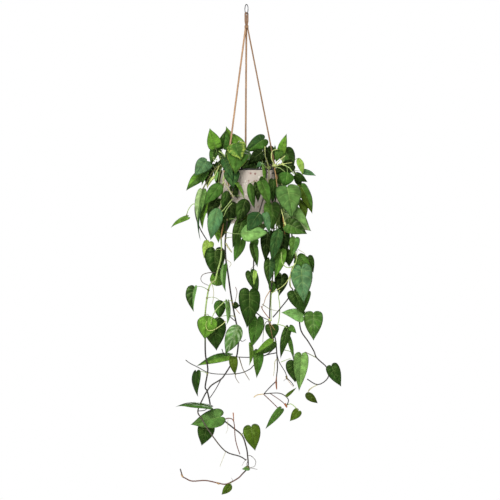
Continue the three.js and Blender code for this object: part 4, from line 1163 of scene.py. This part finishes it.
def makeSoilCrumbs():
    shape = newShape()
    chance = random.Random(soilCrumbs["seed"])
    sides = len(soilCrumbs["sides"])
    ball = [Vector((0, 0, 1))]
    for level, (reach, z) in enumerate(soilCrumbs["rings"]):
        for a in soilCrumbs["sides"]:
            ball.append(Vector((math.cos(a + 0.5 * level) * reach, math.sin(a + 0.5 * level) * reach, z)))
    ball.append(Vector((0, 0, -1)))
    for i in range(soilCrumbs["count"]):
        radius = soilCrumbs["reach"] * math.sqrt(chance.random())
        size = chance.uniform(*soilCrumbs["size"])
        place = turned(radius, chance.uniform(0, 360), soilHeight(radius) + size * soilCrumbs["sunk"])
        stretch = [size * share for share in drawn(chance, soilCrumbs["stretch"])]
        ids = []
        for corner in ball:
            knock = chance.uniform(*soilCrumbs["knock"])
            ids.append(addPoint(shape, place + Vector(a * b * knock for a, b in zip(corner, stretch))))
        rings = [ids[k:k + sides] for k in range(1, len(ids) - 1, sides)]
        bridge(shape, [ids[:1] * sides, *rings, ids[-1:] * sides], int(i % soilCrumbs["perliteEvery"] == 0),
               downward=True)
    makePiece("soil_crumbs", shape, (earth, makeFinish("perlite", dressPerlite)), "soil", "soil")


makeSoilBed()
makeSoilCrumbs()
print("soil made")

# The ring hangs upright and is seen nearly edge on; turn is in degrees. Its top is painted near black, a painted
# reflection
hangRing = {"hole": 13.2, "wire": 1.4, "turn": 19, "rounds": 96, "sides": 20, "grain": (2200.0, 260.0),
            "metal": "#8d8d90", "dull": "#6f6f72", "paintedReflection": "#1d1d1f", "paintedReflectionDepth": 0.003}


def dressMetal(tree, place):
    grain = grainAt(tree, place, *hangRing["grain"])
    colour = mixColour(tree, grain["Coarse"], paint(hangRing["metal"]), paint(hangRing["dull"]))
    # Painted reflection: the top of the ring is painted near black
    level = addNode(tree, "ShaderNodeSeparateXYZ", {"Vector": place}).outputs["Z"]
    paintedReflection = ramp(tree, level, -hangRing["paintedReflectionDepth"], 0.0)
    return {"Base Color": mixColour(tree, paintedReflection, colour, paint(hangRing["paintedReflection"])),
            "Roughness": vary(tree, grain["Fine"], 0.16, 0.28)}


def makeRing():
    shape = newShape()
    rounds, sides, wire = hangRing["rounds"], hangRing["sides"], hangRing["wire"]
    turn = math.radians(90 + hangRing["turn"])
    out = Vector((math.cos(turn), math.sin(turn), 0))
    across = Vector((-math.sin(turn), math.cos(turn), 0))
    rings = []
    for i in range(rounds):
        a = 2 * math.pi * i / rounds
        away = out * math.cos(a) + Vector((0, 0, math.sin(a)))
        middle = away * (hangRing["hole"] + wire) - Vector((0, 0, hangRing["hole"]))
        ring = []
        for j in range(sides):
            b = 2 * math.pi * j / sides
            ring.append(addPoint(shape, middle + away * (wire * math.cos(b)) + across * (wire * math.sin(b))))
        rings.append(ring)
    bridge(shape, rings + rings[:1], downward=True)
    makePiece("ring", shape, (makeFinish("ringMetal", dressMetal, Metallic=1.0),), "ring_metal", "hang_ring")


leatherLook = {"body": "#916f50", "light": "#a5825f", "edge": "#6b4e37", "edgeTint": 0.75, "fleckTint": 0.35,
               "grain": (1300.0, 120.0), "stretch": (1, 1, 0.3)}


def dressLeather(tree, place):
    look = leatherLook
    edge = split(tree, readColour(tree, "marks")["Color"])["Red"]
    grain = grainAt(tree, place, *look["grain"], look["stretch"])
    colour = mixColour(tree, ramp(tree, grain["Coarse"], 0.3, 0.72), paint(look["body"]), paint(look["light"]))
    fleck = product(tree, ramp(tree, grain["Fine"], 0.45, 0.75), look["fleckTint"])
    colour = mixColour(tree, fleck, colour, paint(look["edge"]))
    colour = mixColour(tree, product(tree, edge, look["edgeTint"]), colour, paint(look["edge"]))
    return {"Base Color": colour, "Roughness": vary(tree, grain["Coarse"], 0.62, 0.8),
            "Normal": bump(tree, grain["Fine"], 0.0005)}


leather = makeFinish("naturalLeather", dressLeather)


def addStrap(shape, points, flat, wide, thick):
    # A flat lace with rounded edges along its points; flat is the way of its width
    outline = []
    for x, y in ((1, 1), (-1, 1), (-1, -1), (1, -1)):
        for k in range(4):
            a = math.atan2(y, x) + math.radians(-45 + 30 * k)
            r = thick * 0.3
            outline.append((x * (wide / 2 - r) + r * math.cos(a), y * (thick / 2 - r) + r * math.sin(a)))
    rings = []
    for i, point in enumerate(points):
        along = wayAlong(points, i)
        across = (flat - along * along.dot(flat)).normalized()
        thin = along.cross(across)
        rings.append([addPoint(shape, point + across * x + thin * y,
                               marks=(smoothStep(wide * 0.42, wide * 0.49, abs(x)), 0, 0)) for x, y in outline])
    closeTube(shape, rings)


# The laces folded over the ring, one over the other and pinched towards the binding, and the strands between them
laceFold = {
    "radius": 1.75, "thick": 1.5, "wide": 8.2, "most": 5.4, "top": -27.8, "foot": -66, "ends": (-61.5, -60.4, -62.2),
    "apart": 0.06, "pinch": 0.42, "pinchFrom": -48, "pinchTo": -64, "legSteps": 9, "bendSteps": 12,
    "strands": (-0.86, 0.86), "strandWide": 7, "strandThick": 1.66, "strandLevels": (-30.4, -38, -45, -52, -61.5),
}


def foldLeg(radius, levels):
    points = []
    for z in levels:
        pinch = laceFold["pinch"] * smoothStep(laceFold["pinchFrom"], laceFold["pinchTo"], z)
        points.append(Vector((radius * (1 - pinch), 0, z)))
    return points


def makeFold():
    shape = newShape()
    flat = Vector((0, 1, 0))
    top, foot, steps, bends = (laceFold[word] for word in ("top", "foot", "legSteps", "bendSteps"))
    for k, end in enumerate(laceFold["ends"]):
        radius = min(laceFold["radius"] + laceFold["thick"] * (k + 0.5), laceFold["most"])
        points = foldLeg(-radius, [end + (top - end) * s / steps for s in range(steps)])
        for s in range(bends + 1):
            a = math.pi * (1 - s / bends)
            points.append(Vector((radius * math.cos(a), 0, top + radius * math.sin(a))))
        points += foldLeg(radius, [top + (foot - top) * s / steps for s in range(1, steps + 1)])
        addStrap(shape, points, flat, laceFold["wide"], laceFold["thick"] - laceFold["apart"])
    for x in laceFold["strands"]:
        points = [Vector((x, 0, z)) for z in laceFold["strandLevels"]]
        addStrap(shape, points, flat, laceFold["strandWide"], laceFold["strandThick"])
    makePiece("lace_fold", shape, (leather,), "leather", "lace_loop")


# A cord wound round the bundle, and the core inside it, each level with its radius
laceBinding = {"radius": 4.7, "cord": 1.65, "top": -62.8, "bottom": -69.2, "turns": 3.2, "steps": 90, "darker": 0.25,
               "core": ((3.2, -61.6), (4.6, -62.2), (4.8, -66), (4.6, -70.2), (3.4, -70.9))}


def makeBinding():
    shape = newShape()
    steps, radius, top = laceBinding["steps"], laceBinding["radius"], laceBinding["top"]
    points = []
    for i in range(steps + 1):
        a = 2 * math.pi * laceBinding["turns"] * i / steps
        z = top + (laceBinding["bottom"] - top) * i / steps
        points.append(Vector((radius * math.cos(a), radius * math.sin(a), z)))
    addTube(shape, points, [laceBinding["cord"]] * (steps + 1), sides=10)
    core = laceBinding["core"]
    addTube(shape, [Vector((0, 0, z)) for _, z in core], [r for r, _ in core], sides=20)
    shape["marks"] = [(laceBinding["darker"], 0, 0)] * len(shape["points"])
    makePiece("binding_cord", shape, (leather,), "leather", "lace_binding")


# Each lace runs from the binding past the rim and through its hole to a knot inside. Under its name are the
# side of the pot that it goes to and the way its flat side lies, in degrees round from the right.
lace = {
    "wide": 5.4, "thick": 1.8, "spread": 3.6, "start": -70.2, "rimRadius": 82.7, "rimZ": -498, "wallRadius": 87.7,
    "level": -524, "bend": 2, "inWall": ((0.6, 0.3), (3, 0)), "depth": 14.7, "steps": 40, "wobble": 0.12,
    "knot": 5.2, "knotReach": 2.2, "knotDepth": 1.3, "knotCord": 1.9, "knotSteps": 48,
    "ways": {"left": (217, 345), "right": (347, 48), "back": (97, 7)},
}


def makeLace(name, turn, way):
    shape = newShape()
    a, b = math.radians(turn), math.radians(way)
    out, side = Vector((math.cos(a), math.sin(a), 0)), Vector((-math.sin(a), math.cos(a), 0))
    flat = Vector((math.cos(b), math.sin(b), 0))
    wall, level, steps = lace["wallRadius"], lace["level"], lace["steps"]
    start = out * lace["spread"] + Vector((0, 0, lace["start"]))
    rim = turned(lace["rimRadius"], turn, lace["rimZ"])
    corner = turned(wall, turn, level + lace["bend"])
    points = [start.lerp(rim, s / steps) for s in range(steps)] + [rim, rim.lerp(corner, 0.5), corner]
    points += [turned(wall - back, turn, level + up) for back, up in (*lace["inWall"], (lace["depth"], 0))]
    chance = random.Random(turn)
    for i in range(2, steps):
        points[i] = points[i] + flat * chance.uniform(-lace["wobble"], lace["wobble"])
    addStrap(shape, points, flat, lace["wide"], lace["thick"])
    middle = turned(wall - lace["depth"] - lace["knot"] / 2, turn, level)
    course = []
    for i in range(lace["knotSteps"] + 1):
        t = 2 * math.pi * i / lace["knotSteps"]
        reach = lace["knotReach"] * (2 + math.cos(3 * t)) / 3
        course.append(middle + side * (reach * math.cos(2 * t)) + Vector((0, 0, reach * math.sin(2 * t)))
                      + out * (lace["knotDepth"] * math.sin(3 * t)))
    addTube(shape, course, [lace["knotCord"]] * len(course), sides=10)
    makePiece("lace_" + name + "_strap", shape, (leather,), "leather", "lace_" + name)


makeRing()
makeFold()
makeBinding()
for name, (turn, way) in lace["ways"].items():
    makeLace(name, turn, way)
print("hanger made")


# Camera and light, in metres and degrees
cameraView = {"lens": 600, "sensor": 36, "distance": 25, "plane": -0.08, "x": 0.0105, "z": -0.738}
studio = {"backdrop": 1.0, "fill": 0.24, "floorZ": -2.6, "floorRadius": 16, "floorShade": "#f6f5f3",
          "skyLight": 1.3, "skySpread": 50, "skyTurn": (38, 0, -32)}
softBoxes = {  # place, width, height, watts
    "keyLight": ((-1.9, -3.9, 1.5), 3.2, 3.2, 200),
    "sideLight": ((3.4, -1.8, 0.2), 1.0, 2.4, 40),
    "backLight": ((0.6, 3.4, 1.4), 3.0, 2.4, 110),
    "lowLight": ((-0.5, -3.6, -1.9), 2.6, 1.0, 16),
}


def dressFloor(tree, place):
    grain = grainAt(tree, place, 60.0, 2.0)
    return {"Base Color": mixColour(tree, grain["Coarse"], paint(studio["floorShade"]), paint("#ffffff"))}


def putInScene(name, data, place=(0, 0, 0), rotation=(0, 0, 0)):
    item = bpy.data.objects.new(name, data)
    item.location = place
    item.rotation_euler = rotation
    bpy.context.scene.collection.objects.link(item)
    return item


def makeStage():
    bpy.ops.mesh.primitive_circle_add(vertices=64, radius=studio["floorRadius"], fill_type="NGON",
                                      location=(0, 0, studio["floorZ"]))
    floor = bpy.context.object
    floor.name = "floor"
    floor.data.materials.append(makeFinish("paleFloor", dressFloor, Roughness=0.9))
    world = bpy.data.worlds.new("studioAir")
    bpy.context.scene.world = world
    world.use_nodes = True
    tree = world.node_tree
    seen = addNode(tree, "ShaderNodeLightPath").outputs["Is Camera Ray"]
    strength = addNode(tree, "ShaderNodeMapRange", {"Value": seen, "To Min": studio["fill"],
                       "To Max": studio["backdrop"]}).outputs["Result"]
    air = tree.nodes["Background"]
    air.inputs["Color"].default_value = (1, 1, 1, 1)
    tree.links.new(strength, air.inputs["Strength"])
    middle = Vector((0, 0, cameraView["z"]))
    for name, (place, width, height, watts) in softBoxes.items():
        lamp = bpy.data.lights.new(name, "AREA")
        lamp.shape = "RECTANGLE"
        lamp.size, lamp.size_y, lamp.energy = width, height, watts
        putInScene(name, lamp, place, (middle - Vector(place)).to_track_quat("-Z", "Y").to_euler())
    sun = bpy.data.lights.new("skyLight", "SUN")
    sun.energy, sun.angle = studio["skyLight"], math.radians(studio["skySpread"])
    putInScene("skyLight", sun, rotation=[math.radians(turn) for turn in studio["skyTurn"]])
    lens = bpy.data.cameras.new("camera")
    lens.lens = cameraView["lens"]
    lens.sensor_width = cameraView["sensor"]
    bpy.context.scene.camera = putInScene(
        "camera", lens, (cameraView["x"], cameraView["plane"] - cameraView["distance"], cameraView["z"]),
        (math.pi / 2, 0, 0))
    bpy.context.scene.view_settings.view_transform = "Standard"


makeStage()
print("studio made")

bpy.context.view_layer.update()
